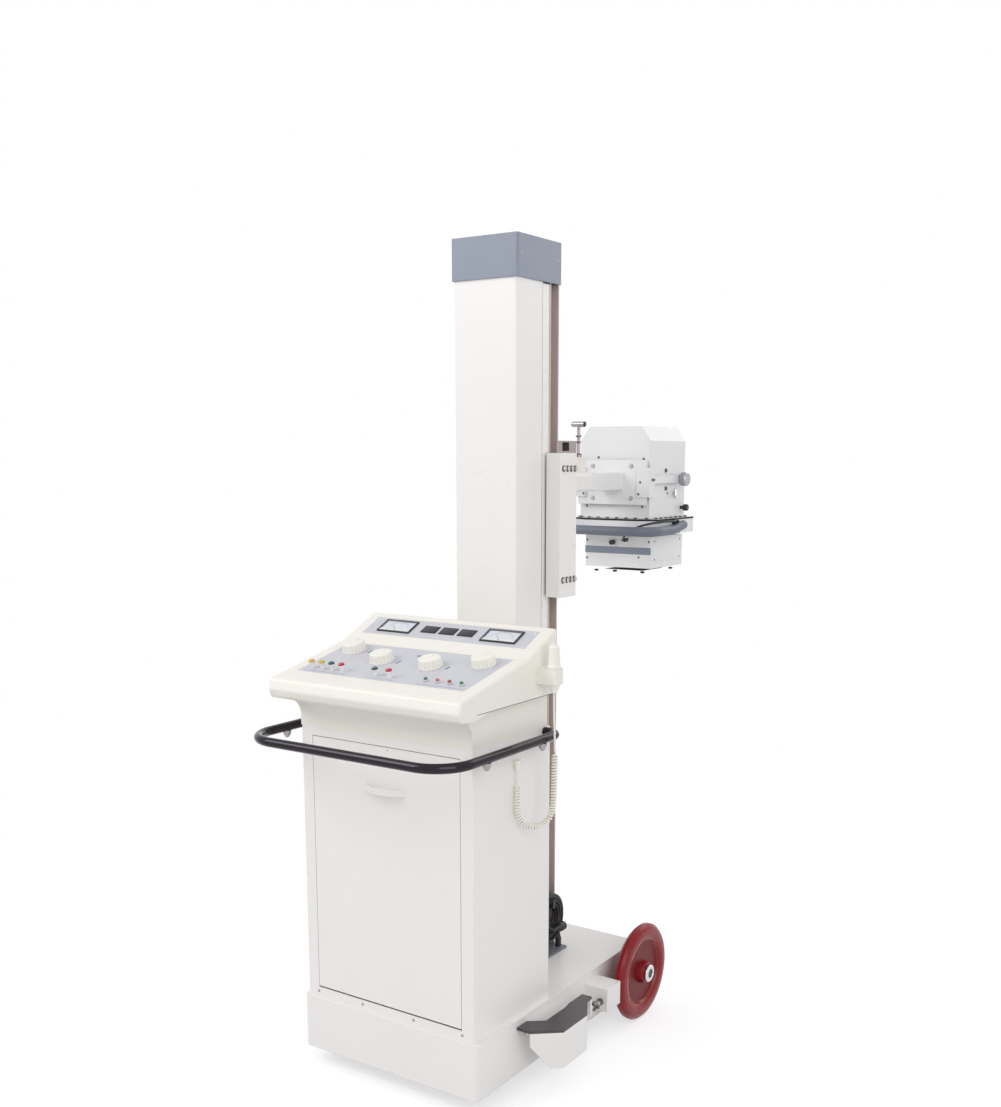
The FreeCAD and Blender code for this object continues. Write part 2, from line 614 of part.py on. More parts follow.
def wire_rope():
    """Rope from the carriage's lug, over the pulley, and down to the counterweight."""
    rear_y = d.rope_front_y + 2 * d.pulley_radius
    rear = cylinder("rope_rear", "z", (ZERO, rear_y),
                    (rope_lug_top(), d.pulley_level), d.rope_radius)
    front = cylinder("rope_front", "z", (ZERO, d.rope_front_y),
                     (d.weight_low + d.weight_height + d.weight_lug, d.pulley_level), d.rope_radius)
    wrap = doc.addObject("Part::Torus", "rope_wrap")
    wrap.Placement = FreeCAD.Placement(FreeCAD.Vector(),
                                       FreeCAD.Rotation(FreeCAD.Vector(1, 1, 1), 120))
    wrap.Angle3 = 180
    bind(wrap, Radius1=d.pulley_radius, Radius2=d.rope_radius)
    seat(wrap, ZERO, d.rope_front_y + d.pulley_radius, d.pulley_level)
    keep(fuse("wire_rope", [rear, wrap, front]), "wire_rope")


def roller_levels():
    return d.carriage_top - d.roller_top_inset, d.carriage_low + d.roller_low_inset


def rope_lug_top():
    return d.carriage_top - d.rope_lug_drop + d.rope_lug_height


def carriage_housing():
    """Carriage box that wraps the mast, with its roller pins and the rope's lug."""
    item = body("carriage_housing")
    half = d.carriage_half
    wall = d.carriage_wall
    slot = d.column_width / 2 + d.mast_gap
    pad(item, "z", [rect(-half, half, d.carriage_front, d.carriage_rear)],
        d.carriage_low, d.carriage_top)
    fillet(item, wall, lambda edge: straight(edge, "z"))
    pocket(item, "z", [rect(wall - half, half - wall, d.carriage_front + wall,
                            d.carriage_rear - wall)],
           d.carriage_low + wall, d.carriage_top - wall)
    pocket(item, "z", [rect(-slot, slot, d.carriage_front, d.guide_rear + d.mast_gap)],
           d.carriage_low, d.carriage_top)
    middle_y = (d.post_rear + d.guide_rear) / 2
    for level in roller_levels():
        boss = [circle(middle_y, level, d.roller_boss)]
        spindle = [circle(middle_y, level, d.roller_pin)]
        tip = d.roller_inner_x - 2
        base = half - wall
        pad(item, "x", boss, base - d.roller_boss, base)
        pad(item, "x", spindle, tip, base)
        pad(item, "x", boss, -base, d.roller_boss - base)
        pad(item, "x", spindle, -base, -tip)
    rope_y = d.rope_front_y + 2 * d.pulley_radius
    lug = 4 * d.rope_radius
    pad(item, "z", [rect(-lug, lug, rope_y - lug, d.carriage_rear - wall)],
        rope_lug_top() - d.rope_lug_height, rope_lug_top())
    keep(item, "carriage_housing")


def rollers(name, level):
    middle_y = (d.post_rear + d.guide_rear) / 2
    item = body(f"{name}_right", (d.roller_inner_x, middle_y, level))
    edge = 2
    bore = d.roller_pin + d.running_gap
    revolve(item, "x", [(ZERO, bore), (d.roller_width, bore),
                        (d.roller_width, d.roller_radius - edge),
                        (d.roller_width - edge, d.roller_radius), (size(edge), d.roller_radius),
                        (ZERO, d.roller_radius - edge)])
    keep(group(name, [item, mirror(f"{name}_left", item)]), name)


# Arm, yoke and head

def lock_lug_top():
    return d.arm_level + d.arm_height / 2 + d.lock_lug_rise


def arm_socket():
    """Steel socket block behind the carriage, with the rounded boss that the arm turns in."""
    item = body("arm_socket")
    low = d.arm_level - d.arm_height / 2
    high = d.arm_level + d.arm_height / 2
    pad(item, "y", [rect(-d.socket_half, d.socket_half, d.socket_low, d.socket_top)],
        d.carriage_rear, d.socket_rear)
    pad(item, "y", [rect(-d.arm_half, d.arm_half, low, high)], d.socket_rear, d.boss_rear)
    rear = d.socket_rear.value + 1
    fillet(item, d.arm_fillet, lambda edge: straight(edge, "y") and middle(edge).y > rear)
    slot_top = d.socket_top - d.socket_bar
    pocket(item, "x", [rect(d.socket_slot_y, d.socket_slot_y + d.socket_slot_length,
                            slot_top - d.socket_slot_height, slot_top)],
           -d.socket_half, d.socket_half)
    pad(item, "z", [rect(-d.lock_half, d.lock_half, d.lock_y - d.lock_half,
                         d.lock_y + d.lock_half)], high - 2, lock_lug_top())
    pocket(item, "z", [circle(ZERO, d.lock_y, d.lock_rod + d.running_gap)],
           lock_lug_top() - d.lock_depth, lock_lug_top())
    pocket(item, "y", [circle(ZERO, d.arm_level, d.journal_radius + d.running_gap)],
           d.boss_rear - d.journal_length - 1, d.boss_rear)
    keep(item, "arm_socket")


def arm_lock_handle():
    """Tee handle of the arm's clamp screw."""
    lug = lock_lug_top()
    top = lug + d.lock_rise
    rod = cylinder("lock_rod", "z", (ZERO, d.lock_y), (lug - d.lock_depth + 1, top), d.lock_rod)
    collar = cylinder("lock_collar", "z", (ZERO, d.lock_y), (lug + d.seat_gap, lug + 6),
                      2 * d.lock_rod)
    grip = cylinder("lock_grip", "x", (d.lock_y, top), (-d.lock_grip_half, d.lock_grip_half),
                    d.lock_grip)
    keep(fuse("arm_lock_handle", [rod, collar, grip]), "arm_lock_handle")


def arm_bar():
    item = body("arm_bar")
    start = d.boss_rear + d.seat_gap
    pad(item, "y", [rect(-d.arm_half, d.arm_half, d.arm_level - d.arm_height / 2,
                         d.arm_level + d.arm_height / 2)], start, d.yoke_front)
    fillet(item, d.arm_fillet / 2, lambda edge: straight(edge, "y"))
    pad(item, "y", [circle(ZERO, d.arm_level, d.journal_radius)], start - d.journal_length, start)
    keep(item, "arm_bar")


def yoke_frame():
    """Front plate on the arm's end, corner brackets, side bars and pivot bosses."""
    item = body("yoke_frame")
    plate_rear = d.yoke_front + d.yoke_plate
    bracket_front = d.yoke_front - d.side_bar_plate
    pad(item, "y", [rect(-d.yoke_half, d.yoke_half, d.yoke_low, d.yoke_top)],
        d.yoke_front, plate_rear)
    inner = d.side_bar_inner
    outer = inner + d.side_bar_plate
    near = d.bracket_inner_x
    for side in (1, -1):
        ends = sorted((near * side, outer * side), key=lambda end: end.value)
        pad(item, "y", [rect(ends[0], ends[1], d.bracket_low, d.bracket_top)],
            bracket_front, d.yoke_front)
        leg = sorted((inner * side, outer * side), key=lambda end: end.value)
        pad(item, "x", [rect(bracket_front, d.bracket_rear, d.bracket_low, d.bracket_top)],
            leg[0], leg[1])
        pad(item, "x", [rect(d.bracket_rear, d.pivot_y, d.pivot_level - d.side_bar_half,
                             d.pivot_level + d.side_bar_half)], leg[0], leg[1])
        boss = sorted(((inner - 2) * side, (outer + 2) * side), key=lambda end: end.value)
        pad(item, "x", [circle(d.pivot_y, d.pivot_level, d.pivot_boss)], boss[0], boss[1])
    pocket(item, "x", [circle(d.pivot_y, d.pivot_level, d.trunnion_radius + d.running_gap)],
           -outer - 2, outer + 2)
    keep(item, "yoke_frame")


def pivot_knob():
    start = d.side_bar_inner + d.side_bar_plate + 2 + d.seat_gap
    item = body("pivot_knob", (start, d.pivot_y, d.pivot_level))
    bore = d.stud_radius + d.running_gap
    depth = d.stud_end - start + 1
    revolve(item, "x", [(ZERO, bore), (ZERO, 0.6 * d.pivot_knob_radius),
                        (size(4), 0.6 * d.pivot_knob_radius), (size(6), d.pivot_knob_radius),
                        (d.pivot_knob_length - 3, d.pivot_knob_radius),
                        (d.pivot_knob_length, d.pivot_knob_radius - 3),
                        (d.pivot_knob_length, ZERO), (depth, ZERO), (depth, bore)])
    doc.recompute()
    flute = pocket(item, "x", [circle(d.pivot_knob_radius + 1, ZERO, d.flute_radius)],
                   size(4), d.pivot_knob_length)
    pattern = item.newObject("PartDesign::PolarPattern", "pivot_knob_flutes")
    pattern.Originals = [flute]
    pattern.Axis = (flute.Profile[0], ["N_Axis"])
    pattern.Angle = 360
    pattern.Occurrences = 8
    item.Tip = pattern
    keep(item, "pivot_knob")


def head_cover():
    """Folded cover of the tube housing, with chamfered shoulders and the two trunnions."""
    item = body("head_cover")

    def shoulders(inset, foot):
        half = d.head_half - inset
        top = d.head_top - inset
        return [(-half, foot), (half, foot), (half, d.head_top - d.head_chamfer_z),
                (d.head_half - d.head_chamfer_x, top), (d.head_chamfer_x - d.head_half, top),
                (-half, d.head_top - d.head_chamfer_z)]

    pad(item, "y", [shoulders(ZERO, d.head_low)], d.head_front, d.head_rear)
    pocket(item, "y", [shoulders(d.head_wall, d.head_low - 1)],
           d.head_front + d.head_wall, d.head_rear - d.head_wall)
    trunnion = [circle(d.pivot_y, d.pivot_level, d.trunnion_radius)]
    base = d.head_half - d.head_wall
    end = d.side_bar_inner + d.side_bar_plate + 1
    pad(item, "x", trunnion, base, end)
    pad(item, "x", trunnion, -end, -base)
    pad(item, "x", [circle(d.pivot_y, d.pivot_level, d.stud_radius)], end, d.stud_end)
    keep(item, "head_cover")


def head_pan():
    """Cast pan under the cover, with the wide flange and the beam port."""
    item = body("head_pan")
    half = d.pan_half
    corner = half - d.pan_chamfer_x
    side = d.pan_front + d.pan_chamfer_y
    cut = d.pan_rear_cut
    outline = [(-corner, d.pan_front), (corner, d.pan_front), (half, side),
               (half, d.pan_rear - cut), (half - cut, d.pan_rear), (cut - half, d.pan_rear),
               (-half, d.pan_rear - cut), (-half, side)]
    pad(item, "z", [outline], d.pan_low, d.head_low)
    centre = (d.head_front + d.head_rear) / 2
    pocket(item, "z", [rect(-d.pan_cup_half, d.pan_cup_half, centre - d.pan_cup_half,
                            centre + d.pan_cup_half)], d.pan_low + d.pan_floor, d.head_low)
    pocket(item, "z", [circle(ZERO, d.collimator_y, d.port_radius)],
           d.pan_low, d.pan_low + d.pan_floor)
    keep(item, "head_pan")


def tube_insert():
    """X-ray tube with its high-voltage tank, standing on the pan's floor."""
    centre = (d.head_front + d.head_rear) / 2
    floor = d.pan_low + d.pan_floor
    tube = cylinder("insert_tube", "y", (ZERO, d.insert_level),
                    (centre - d.insert_length / 2, centre + d.insert_length / 2), d.insert_radius)
    foot = box("insert_foot", (-d.pan_cup_half + 10, -d.port_radius - 5),
               (centre - d.insert_foot, centre + d.insert_foot), (floor, d.insert_level))
    saddle = box("insert_saddle", (-d.pan_cup_half + 10, ZERO),
                 (centre - d.insert_foot, centre + d.insert_foot),
                 (d.insert_level, d.insert_level + d.insert_radius / 2))
    keep(fuse("tube_insert", [tube, foot, saddle]), "tube_insert")


def collimator_housing():
    item = body("collimator_housing")
    half = d.collimator_half
    pad(item, "z", [rect(-half, half, d.collimator_front, d.collimator_rear)],
        d.collimator_low, d.collimator_top)
    fillet(item, d.collimator_edge, lambda edge: straight(edge, "z"))
    pocket(item, "z", [rect(-d.window_half, d.window_half, d.collimator_y - d.window_half,
                            d.collimator_y + d.window_half)],
           d.collimator_low, d.collimator_low + d.window_depth)
    pocket(item, "y", [circle(d.shutter_x, d.shutter_level, d.shutter_shaft + d.running_gap)],
           d.collimator_front, d.collimator_front + d.shutter_depth + 1)
    pad(item, "z", [circle(ZERO, d.collimator_y, d.collimator_neck)],
        d.collimator_top, d.pan_low)
    keep(item, "collimator_housing")


def shutter_knob():
    knob = cylinder("shutter_grip", "y", (d.shutter_x, d.shutter_level),
                    (d.collimator_front - d.shutter_reach, d.collimator_front - d.seat_gap),
                    d.shutter_knob)
    shaft = cylinder("shutter_shaft", "y", (d.shutter_x, d.shutter_level),
                     (d.collimator_front - d.seat_gap, d.collimator_front + d.shutter_depth),
                     d.shutter_shaft)
    keep(fuse("shutter_knob", [knob, shaft]), "shutter_knob")


# Paths of straight runs joined by tangent arcs

def bend(before, corner, after, radius):
    """The two tangent points and the middle of the arc that rounds one corner."""
    to_before = (before - corner).normalize()
    to_after = (after - corner).normalize()
    half_angle = to_before.getAngle(to_after) / 2
    setback = radius / math.tan(half_angle)
    centre = corner + (to_before + to_after).normalize() * (radius / math.sin(half_angle))
    start = corner + to_before * setback
    end = corner + to_after * setback
    top = centre + (corner - centre).normalize() * radius
    return start, top, end


def rounded_path(points, radii):
    """Edges of a path through the points, each inner corner rounded by its own radius."""
    edges = []
    here = points[0]
    for index, radius in enumerate(radii, start=1):
        start, top, end = bend(points[index - 1], points[index], points[index + 1], radius)
        edges.append(Part.LineSegment(here, start).toShape())
        edges.append(Part.Arc(start, top, end).toShape())
        here = end
    edges.append(Part.LineSegment(here, points[-1]).toShape())
    return edges


def cord_radii(points):
    """Arcs as large as the runs on both sides of each corner allow."""
    radii = []
    for before, corner, after in zip(points, points[1:], points[2:]):
        turn = (corner - before).getAngle(after - corner)
        shorter = min(before.distanceToPoint(corner), corner.distanceToPoint(after))
        radii.append(0.45 * shorter / math.tan(turn / 2))
    return radii


def tube(edges, radius):
    """A round bar along a chain of edges."""
    wire = Part.Wire(edges)
    start = edges[0].Vertexes[0].Point
    along = edges[0].tangentAt(edges[0].FirstParameter)
    ring = Part.Wire([Part.Circle(start, along, radius).toShape()])
    solid = wire.makePipeShell([ring], True, False)
    wanted = math.pi * radius ** 2 * wire.Length
    if abs(solid.Volume - wanted) > 0.02 * wanted:
        raise RuntimeError("a tube's volume isn't its section times its length")
    return solid


def shaped(name, shape):
    item = doc.addObject("Part::Feature", name)
    item.Shape = shape
    item.Placement = FreeCAD.Placement(FreeCAD.Vector(0, SHIFT.value, 0), FreeCAD.Rotation())
    return item


def vector(x, y, z):
    return FreeCAD.Vector(size(x).value, size(y).value, size(z).value)


def handle_rail():
    """Chromed push rail round the front of the console, its ends turned in to the cabinet."""
    side = d.cabinet_width / 2
    outer = side + d.rail_stand
    level = d.rail_level
    points = [vector(-side, d.rail_rear_y, level), vector(-outer, d.rail_rear_y, level),
              vector(-outer, -d.rail_reach, level), vector(outer, -d.rail_reach, level),
              vector(outer, d.rail_rear_y, level), vector(side, d.rail_rear_y, level)]
    rear = d.rail_rear_bend.value
    front = d.rail_front_bend.value
    edges = rounded_path(points, [rear, front, front, rear])
    keep(shaped("handle_rail", tube(edges, d.rail_tube.value)), "handle_rail")


def ring_handle():
    """Padded handle round the front of the pan, its raised ends along the pan's sides."""
    level = d.ring_level
    raised = level + d.ring_end_rise
    half = d.ring_half
    points = [vector(-half, d.ring_end, raised), vector(-half, d.ring_rise_y, level),
              vector(-half, d.ring_front, level), vector(half, d.ring_front, level),
              vector(half, d.ring_rise_y, level), vector(half, d.ring_end, raised)]
    small = d.ring_end_bend.value
    large = d.ring_bend.value
    radius = d.ring_tube.value
    pieces = [Part.makeSphere(radius, points[0]), Part.makeSphere(radius, points[-1])]
    for low in (-half, d.pan_half):
        for row in range(2):
            front = d.ring_lug_y + row * d.ring_lug_pitch
            pieces.append(Part.makeBox((half - d.pan_half).value, d.ring_lug.value,
                                       2 * d.ring_lug.value,
                                       vector(low, front, level - d.ring_lug)))
    bar = tube(rounded_path(points, [small, large, large, small]), radius)
    keep(shaped("ring_handle", bar.fuse(pieces).removeSplitter()), "ring_handle")


def head_cable():
    """Lamp lead from the pan's side, round its corner, to the collimator's front."""
    start = d.pan_half
    end = d.collimator_front
    drop = d.jumper_level - d.jumper_end_level
    points = [vector(start + 6, d.jumper_y, d.jumper_level),
              vector(start + 18, d.jumper_y - 14, d.jumper_level + 2),
              vector(start + 16, d.jumper_y - d.jumper_run, d.jumper_level + 3),
              vector(start - 2, d.pan_front, d.jumper_level),
              vector(0.7 * start, d.pan_front - 14, d.jumper_level - 0.2 * drop),
              vector(0.4 * start, d.pan_front - 6, d.jumper_level - 0.6 * drop),
              vector(d.jumper_x + 4, end - 28, d.jumper_end_level + 4),
              vector(d.jumper_x, end - 12, d.jumper_end_level)]
    radii = cord_radii(points)
    print("lamp lead, radii:", [round(radius, 1) for radius in radii])
    lead = tube(rounded_path(points, radii), d.jumper_radius.value)
    plug = Part.makeCylinder(d.jumper_plug.value, 12, vector(d.jumper_x, end - 12,
                                                              d.jumper_end_level),
                             FreeCAD.Vector(0, 1, 0))
    socket = Part.makeCylinder(d.jumper_plug.value, 6, vector(start, d.jumper_y, d.jumper_level),
                               FreeCAD.Vector(1, 0, 0))
    keep(shaped("head_cable", lead.fuse([plug, socket]).removeSplitter()), "head_cable")


def handset_cord():
    """Curly lead of the hand switch: a plain end at the switch, a curled length, a short tail."""
    x = d.handset_x.value
    y = d.handset_y.value
    foot = d.handset_level.value
    rise_x = d.cabinet_width.value / 2 + d.gland_reach.value
    rise_y = d.gland_y.value
    mouth = d.gland_level.value - d.gland_length.value
    low = d.loop_level.value
    leg = low + d.loop_shoulder.value
    inset_x = 0.29 * (x - rise_x)
    inset_y = 0.29 * (y - rise_y)
    sixth = (foot - low) / 6
    points = [FreeCAD.Vector(x, y, foot), FreeCAD.Vector(x, y, foot - sixth),
              FreeCAD.Vector(x + 1, y + 3, foot - 2 * sixth),
              FreeCAD.Vector(x + 1, y + 4, foot - 3 * sixth),
              FreeCAD.Vector(x, y + 3, foot - 4 * sixth), FreeCAD.Vector(x, y, leg),
              FreeCAD.Vector(x - inset_x, y - inset_y, low),
              FreeCAD.Vector(rise_x + inset_x, rise_y + inset_y, low),
              FreeCAD.Vector(rise_x - 1, rise_y - 1, leg),
              FreeCAD.Vector(rise_x, rise_y, (leg + mouth) / 2), FreeCAD.Vector(rise_x, rise_y, mouth)]
    radii = cord_radii(points)
    print("hand switch lead, radii:", [round(radius, 1) for radius in radii])
    edges = rounded_path(points, radii)
    thin = tube(edges, d.lead_radius.value)
    curled = tube(edges[4:18], d.curl_radius.value)
    keep(shaped("handset_cord", thin.fuse(curled).removeSplitter()), "handset_cord")


# Cabinet, door and console

def cabinet_shell():
    item = body("cabinet_shell")
    half = d.cabinet_width / 2
    wall = d.cabinet_wall
    front = d.cabinet_front
    opening = d.door_opening_width / 2
    pad(item, "z", [rect(-half, half, front, d.cabinet_rear)], d.deck_level, d.cabinet_top)
    fillet(item, d.cabinet_corner, lambda edge: straight(edge, "z"))
    pocket(item, "z", [rect(wall - half, half - wall, front + wall, d.cabinet_rear - wall)],
           d.deck_level + wall, d.cabinet_top - wall)
    pocket(item, "y", [rect(-opening, opening, d.door_opening_low, d.door_opening_top)],
           front, front + wall)
    hinge_y = front + d.hinge_inset
    hinge_z = d.door_opening_low + d.door_foot_gap + d.hinge_inset
    lug = [rect(front + wall, hinge_y + 2 * d.hinge_pin, hinge_z - 3 * d.hinge_pin,
                hinge_z + 3 * d.hinge_pin)]
    pad(item, "x", lug, opening, opening + d.hinge_lug)
    pad(item, "x", lug, -opening - d.hinge_lug, -opening)
    pocket(item, "x", [circle(hinge_y, hinge_z, d.hinge_pin + d.running_gap)],
           -opening - d.hinge_lug, opening + d.hinge_lug)
    keep(item, "cabinet_shell")


def cabinet_door():
    """Tilt-out front with its hinge pins and the bowed pull."""
    item = body("door_panel")
    front = d.cabinet_front
    half = d.door_opening_width / 2 - d.door_gap
    low = d.door_opening_low + d.door_foot_gap
    top = d.door_opening_top - d.door_gap
    skin = d.door_skin
    pad(item, "y", [rect(-half, half, low, top)], front, front + d.door_depth)
    pocket(item, "y", [rect(skin - half, half - skin, low + 4 * skin, top - skin)],
           front + skin, front + d.door_depth)
    pin = [circle(front + d.hinge_inset, low + d.hinge_inset, d.hinge_pin)]
    reach = d.door_opening_width / 2 + d.hinge_lug - 1
    pad(item, "x", pin, half - skin, reach)
    pad(item, "x", pin, -reach, skin - half)
    chord = d.pull_width / 2
    radius = (chord * chord + d.pull_reach * d.pull_reach) / (2 * d.pull_reach)
    centre = (ZERO, front - d.pull_reach + radius)
    span = (d.pull_level - d.pull_height / 2, d.pull_level + d.pull_height / 2)
    bow = cut("pull_ring", cylinder("pull_outer", "z", centre, span, radius),
              cylinder("pull_inner", "z", centre, span, radius - d.pull_bar))
    reach_box = box("pull_limit", (-chord, chord), (front - d.pull_reach, front + 0.5), span)
    pull = doc.addObject("Part::Common", "door_pull")
    pull.Base = bow
    pull.Tool = reach_box
    keep(fuse("cabinet_door", [item, pull]), "cabinet_door")


def slope_frame(foot, head):
    """Foot, run and rise of a sloped face of the console, with its sine and cosine."""
    run = head[0] - foot[0]
    rise = head[1] - foot[1]
    length = root(run * run + rise * rise)
    return {"foot": foot, "cos": run / length, "sin": rise / length, "length": length,
            "angle": Size(f"atan({rise.text} / {run.text})",
                          math.degrees(math.atan(rise.value / run.value)))}


LOWER = slope_frame((-d.lip_y, d.lip_level), (d.kink_y, d.kink_level))
UPPER = slope_frame((d.kink_y, d.kink_level), (d.console_rear, d.console_top))


def on_slope(item, slope, u, v, w=ZERO):
    """Places an item on a sloped face: u across, v up the slope, w out of it."""
    item.Placement = FreeCAD.Placement(FreeCAD.Vector(), FreeCAD.Rotation(FreeCAD.Vector(1, 0, 0), 1))
    bind(item, Placement__Rotation__Angle=slope["angle"])
    v = size(v)
    w = size(w)
    foot_y, foot_z = slope["foot"]
    return seat(item, u, foot_y + v * slope["cos"] - w * slope["sin"],
                foot_z + v * slope["sin"] + w * slope["cos"])


def slope_box(name, slope, u, v, w):
    item = doc.addObject("Part::Box", name)
    bind(item, Length=size(u[1]) - u[0], Width=size(v[1]) - v[0], Height=size(w[1]) - w[0])
    return on_slope(item, slope, u[0], v[0], w[0])


def slope_body(name, slope, u, v, w=ZERO):
    return on_slope(doc.addObject("PartDesign::Body", name), slope, u, v, w)


def console_housing():
    """Moulded console: the sloped desk with its bullnose lip over a coved neck, hollow inside."""
    item = body("console_moulding")
    half = d.console_width / 2
    neck = d.cabinet_width / 2
    desk = [(d.console_rear, d.shelf_level), (d.shelf_y, d.shelf_level),
            (-d.lip_foot, d.lip_foot_level), (6 - d.lip_nose, d.lip_foot_level + 6),
            (-d.lip_nose, d.lip_nose_level), (-d.lip_y, d.lip_level), (d.kink_y, d.kink_level),
            (d.console_rear, d.console_top)]
    pad(item, "x", [desk], -half, half)
    low = d.lip_nose_level.value + 5
    fillet(item, d.lip_fillet, lambda edge: straight(edge, "x")
           and middle(edge).y < 5 - d.lip_y.value)
    fillet(item, d.console_edge, lambda edge: abs(abs(middle(edge).x) - half.value) < 0.01
           and middle(edge).z > low and middle(edge).y < d.console_rear.value - 1)
    neck_outline = [(d.console_rear, d.cabinet_top), (d.cabinet_front, d.cabinet_top),
                    (d.cabinet_front, d.cove_level), (d.cabinet_front - d.cove_radius, d.cove_level),
                    (d.cabinet_front - d.cove_radius, d.shelf_level),
                    (d.console_rear, d.shelf_level)]
    pad(item, "x", [neck_outline], -neck, neck)
    pocket(item, "x", [circle(d.cabinet_front - d.cove_radius, d.cove_level, d.cove_radius)],
           -neck - 1, neck + 1)
    wall = d.console_wall
    hollow_desk = [(d.console_rear - wall, d.shelf_level), (d.shelf_y, d.shelf_level),
                   (wall - d.lip_foot, d.lip_foot_level + wall + 4),
                   (wall + 4 - d.lip_nose, d.lip_nose_level),
                   (wall - d.lip_y, d.lip_level - wall),
                   (d.kink_y + wall / 3, d.kink_level - 1.1 * wall),
                   (d.console_rear - wall, d.console_top - 1.6 * wall)]
    pocket(item, "x", [hollow_desk], wall - neck, neck - wall)
    pocket(item, "x", [rect(d.cabinet_front + 2 * wall, d.console_rear - wall, d.cabinet_top,
                            d.shelf_level)], wall - neck, neck - wall)
    deep = 4 * wall
    tools = []
    for name, slope, width, start, end in (
            ("panel", LOWER, d.panel_width, d.panel_start, d.panel_end),
            ("meters", UPPER, d.meter_panel_width, d.meter_panel_start, d.meter_panel_end)):
        across = width / 2
        lap = d.panel_lap
        tools.append(slope_box(f"{name}_rebate", slope, (-across, across), (start, end),
                               (-d.panel_plate, size(deep))))
        tools.append(slope_box(f"{name}_aperture", slope, (lap - across, across - lap),
                               (start + lap, end - lap), (-size(deep), size(deep))))
    keep(cut("console_housing", item, fuse("console_cuts", tools)), "console_housing")


def knob_places():
    return [("rotary_knob_1", -d.knob_outer_x, d.knob_outer_v),
            ("rotary_knob_2", -d.knob_inner_x, d.knob_inner_v),
            ("rotary_knob_3", d.knob_inner_x, d.knob_inner_v),
            ("rotary_knob_4", d.knob_outer_x, d.knob_outer_v)]


def button_places():
    places = [d.button_first_x + d.button_pitch * step for step in range(4)]
    places += [d.button_pair_x + d.button_pair_pitch * step for step in range(2)]
    return [(f"push_button_{number}", u, d.button_v) for number, u in enumerate(places, start=1)]


def lamp_places():
    return [(d.lamp_first_x + d.lamp_pitch * step, d.lamp_v) for step in range(4)]


def control_panels():
    """The two printed panel plates, with holes for all that passes through them."""
    lower = slope_body("lower_panel", LOWER, ZERO, ZERO)
    across = d.panel_width / 2
    loops = [rect(-across, across, d.panel_start, d.panel_end)]
    loops += [circle(u, v, d.knob_shaft + d.running_gap) for _, u, v in knob_places()]
    loops += [circle(u, v, d.button_stem + d.running_gap) for _, u, v in button_places()]
    loops += [circle(u, v, d.lamp_stem + d.running_gap) for u, v in lamp_places()]
    pad(lower, "z", loops, -d.panel_plate, ZERO)
    upper = slope_body("upper_panel", UPPER, ZERO, ZERO)
    across = d.meter_panel_width / 2
    loops = [rect(-across, across, d.meter_panel_start, d.meter_panel_end)]
    for side in (-1, 1):
        loops.append(rect(d.meter_x * side - d.meter_width / 2, d.meter_x * side + d.meter_width / 2,
                          d.meter_v - d.meter_length / 2, d.meter_v + d.meter_length / 2))
    for step in (-1, 0, 1):
        centre = d.display_pitch * step
        loops.append(rect(centre - d.display_width / 2, centre + d.display_width / 2,
                          d.meter_v - d.display_length / 2, d.meter_v + d.display_length / 2))
    pad(upper, "z", loops, -d.panel_plate, ZERO)
    keep(group("control_panels", [lower, upper]), "control_panels")


def meter_bezels():
    """Two meter cases with sunk dials, and three display windows."""
    items = []
    half = d.meter_width / 2
    length = d.meter_length / 2
    frame = d.meter_frame
    for side, name in ((-1, "left"), (1, "right")):
        case = slope_body(f"meter_case_{name}", UPPER, d.meter_x * side, d.meter_v)
        pad(case, "z", [rect(-half, half, -length, length)], -d.meter_depth, d.meter_rim)
        pocket(case, "z", [rect(frame - half, half - frame, frame - length, length - frame)],
               ZERO, d.meter_rim)
        items.append(case)
    for step in (-1, 0, 1):
        centre = d.display_pitch * step
        items.append(slope_box(f"display_{step + 2}", UPPER,
                               (centre - d.display_width / 2, centre + d.display_width / 2),
                               (d.meter_v - d.display_length / 2, d.meter_v + d.display_length / 2),
                               (-2 * d.panel_plate, d.display_rim)))
    keep(group("meter_bezels", items), "meter_bezels")


def meter_needle(name, side):
    """Needle lying at the left end of its scale."""
    item = slope_body(name, UPPER, d.meter_x * side, d.meter_v - d.needle_pivot, d.seat_gap)
    angle = f"dims.needle_rest"
    cos = Size(f"cos({angle})", math.cos(math.radians(d.needle_rest.value)))
    sin = Size(f"sin({angle})", math.sin(math.radians(d.needle_rest.value)))
    half = d.needle_width / 2
    tip = (d.needle_length * cos, d.needle_length * sin)
    pad(item, "z", [[(half * sin, -half * cos), tip, (-half * sin, half * cos)]],
        ZERO, d.needle_plate)
    pad(item, "z", [circle(ZERO, ZERO, d.needle_hub)], ZERO, d.needle_plate)
    keep(item, name)


def indicator_lamps():
    lamps = []
    for number, (u, v) in enumerate(lamp_places(), start=1):
        lamp = slope_body(f"lamp_{number}", LOWER, u, v)
        revolve(lamp, "z", [(-2 * d.panel_plate, ZERO), (-2 * d.panel_plate, d.lamp_stem),
                            (ZERO, d.lamp_stem), (ZERO, d.lamp_radius),
                            (d.lamp_height - 2, d.lamp_radius), (d.lamp_height, d.lamp_radius - 3),
                            (d.lamp_height, ZERO)])
        lamps.append(lamp)
    keep(group("indicator_lamps", lamps), "indicator_lamps")


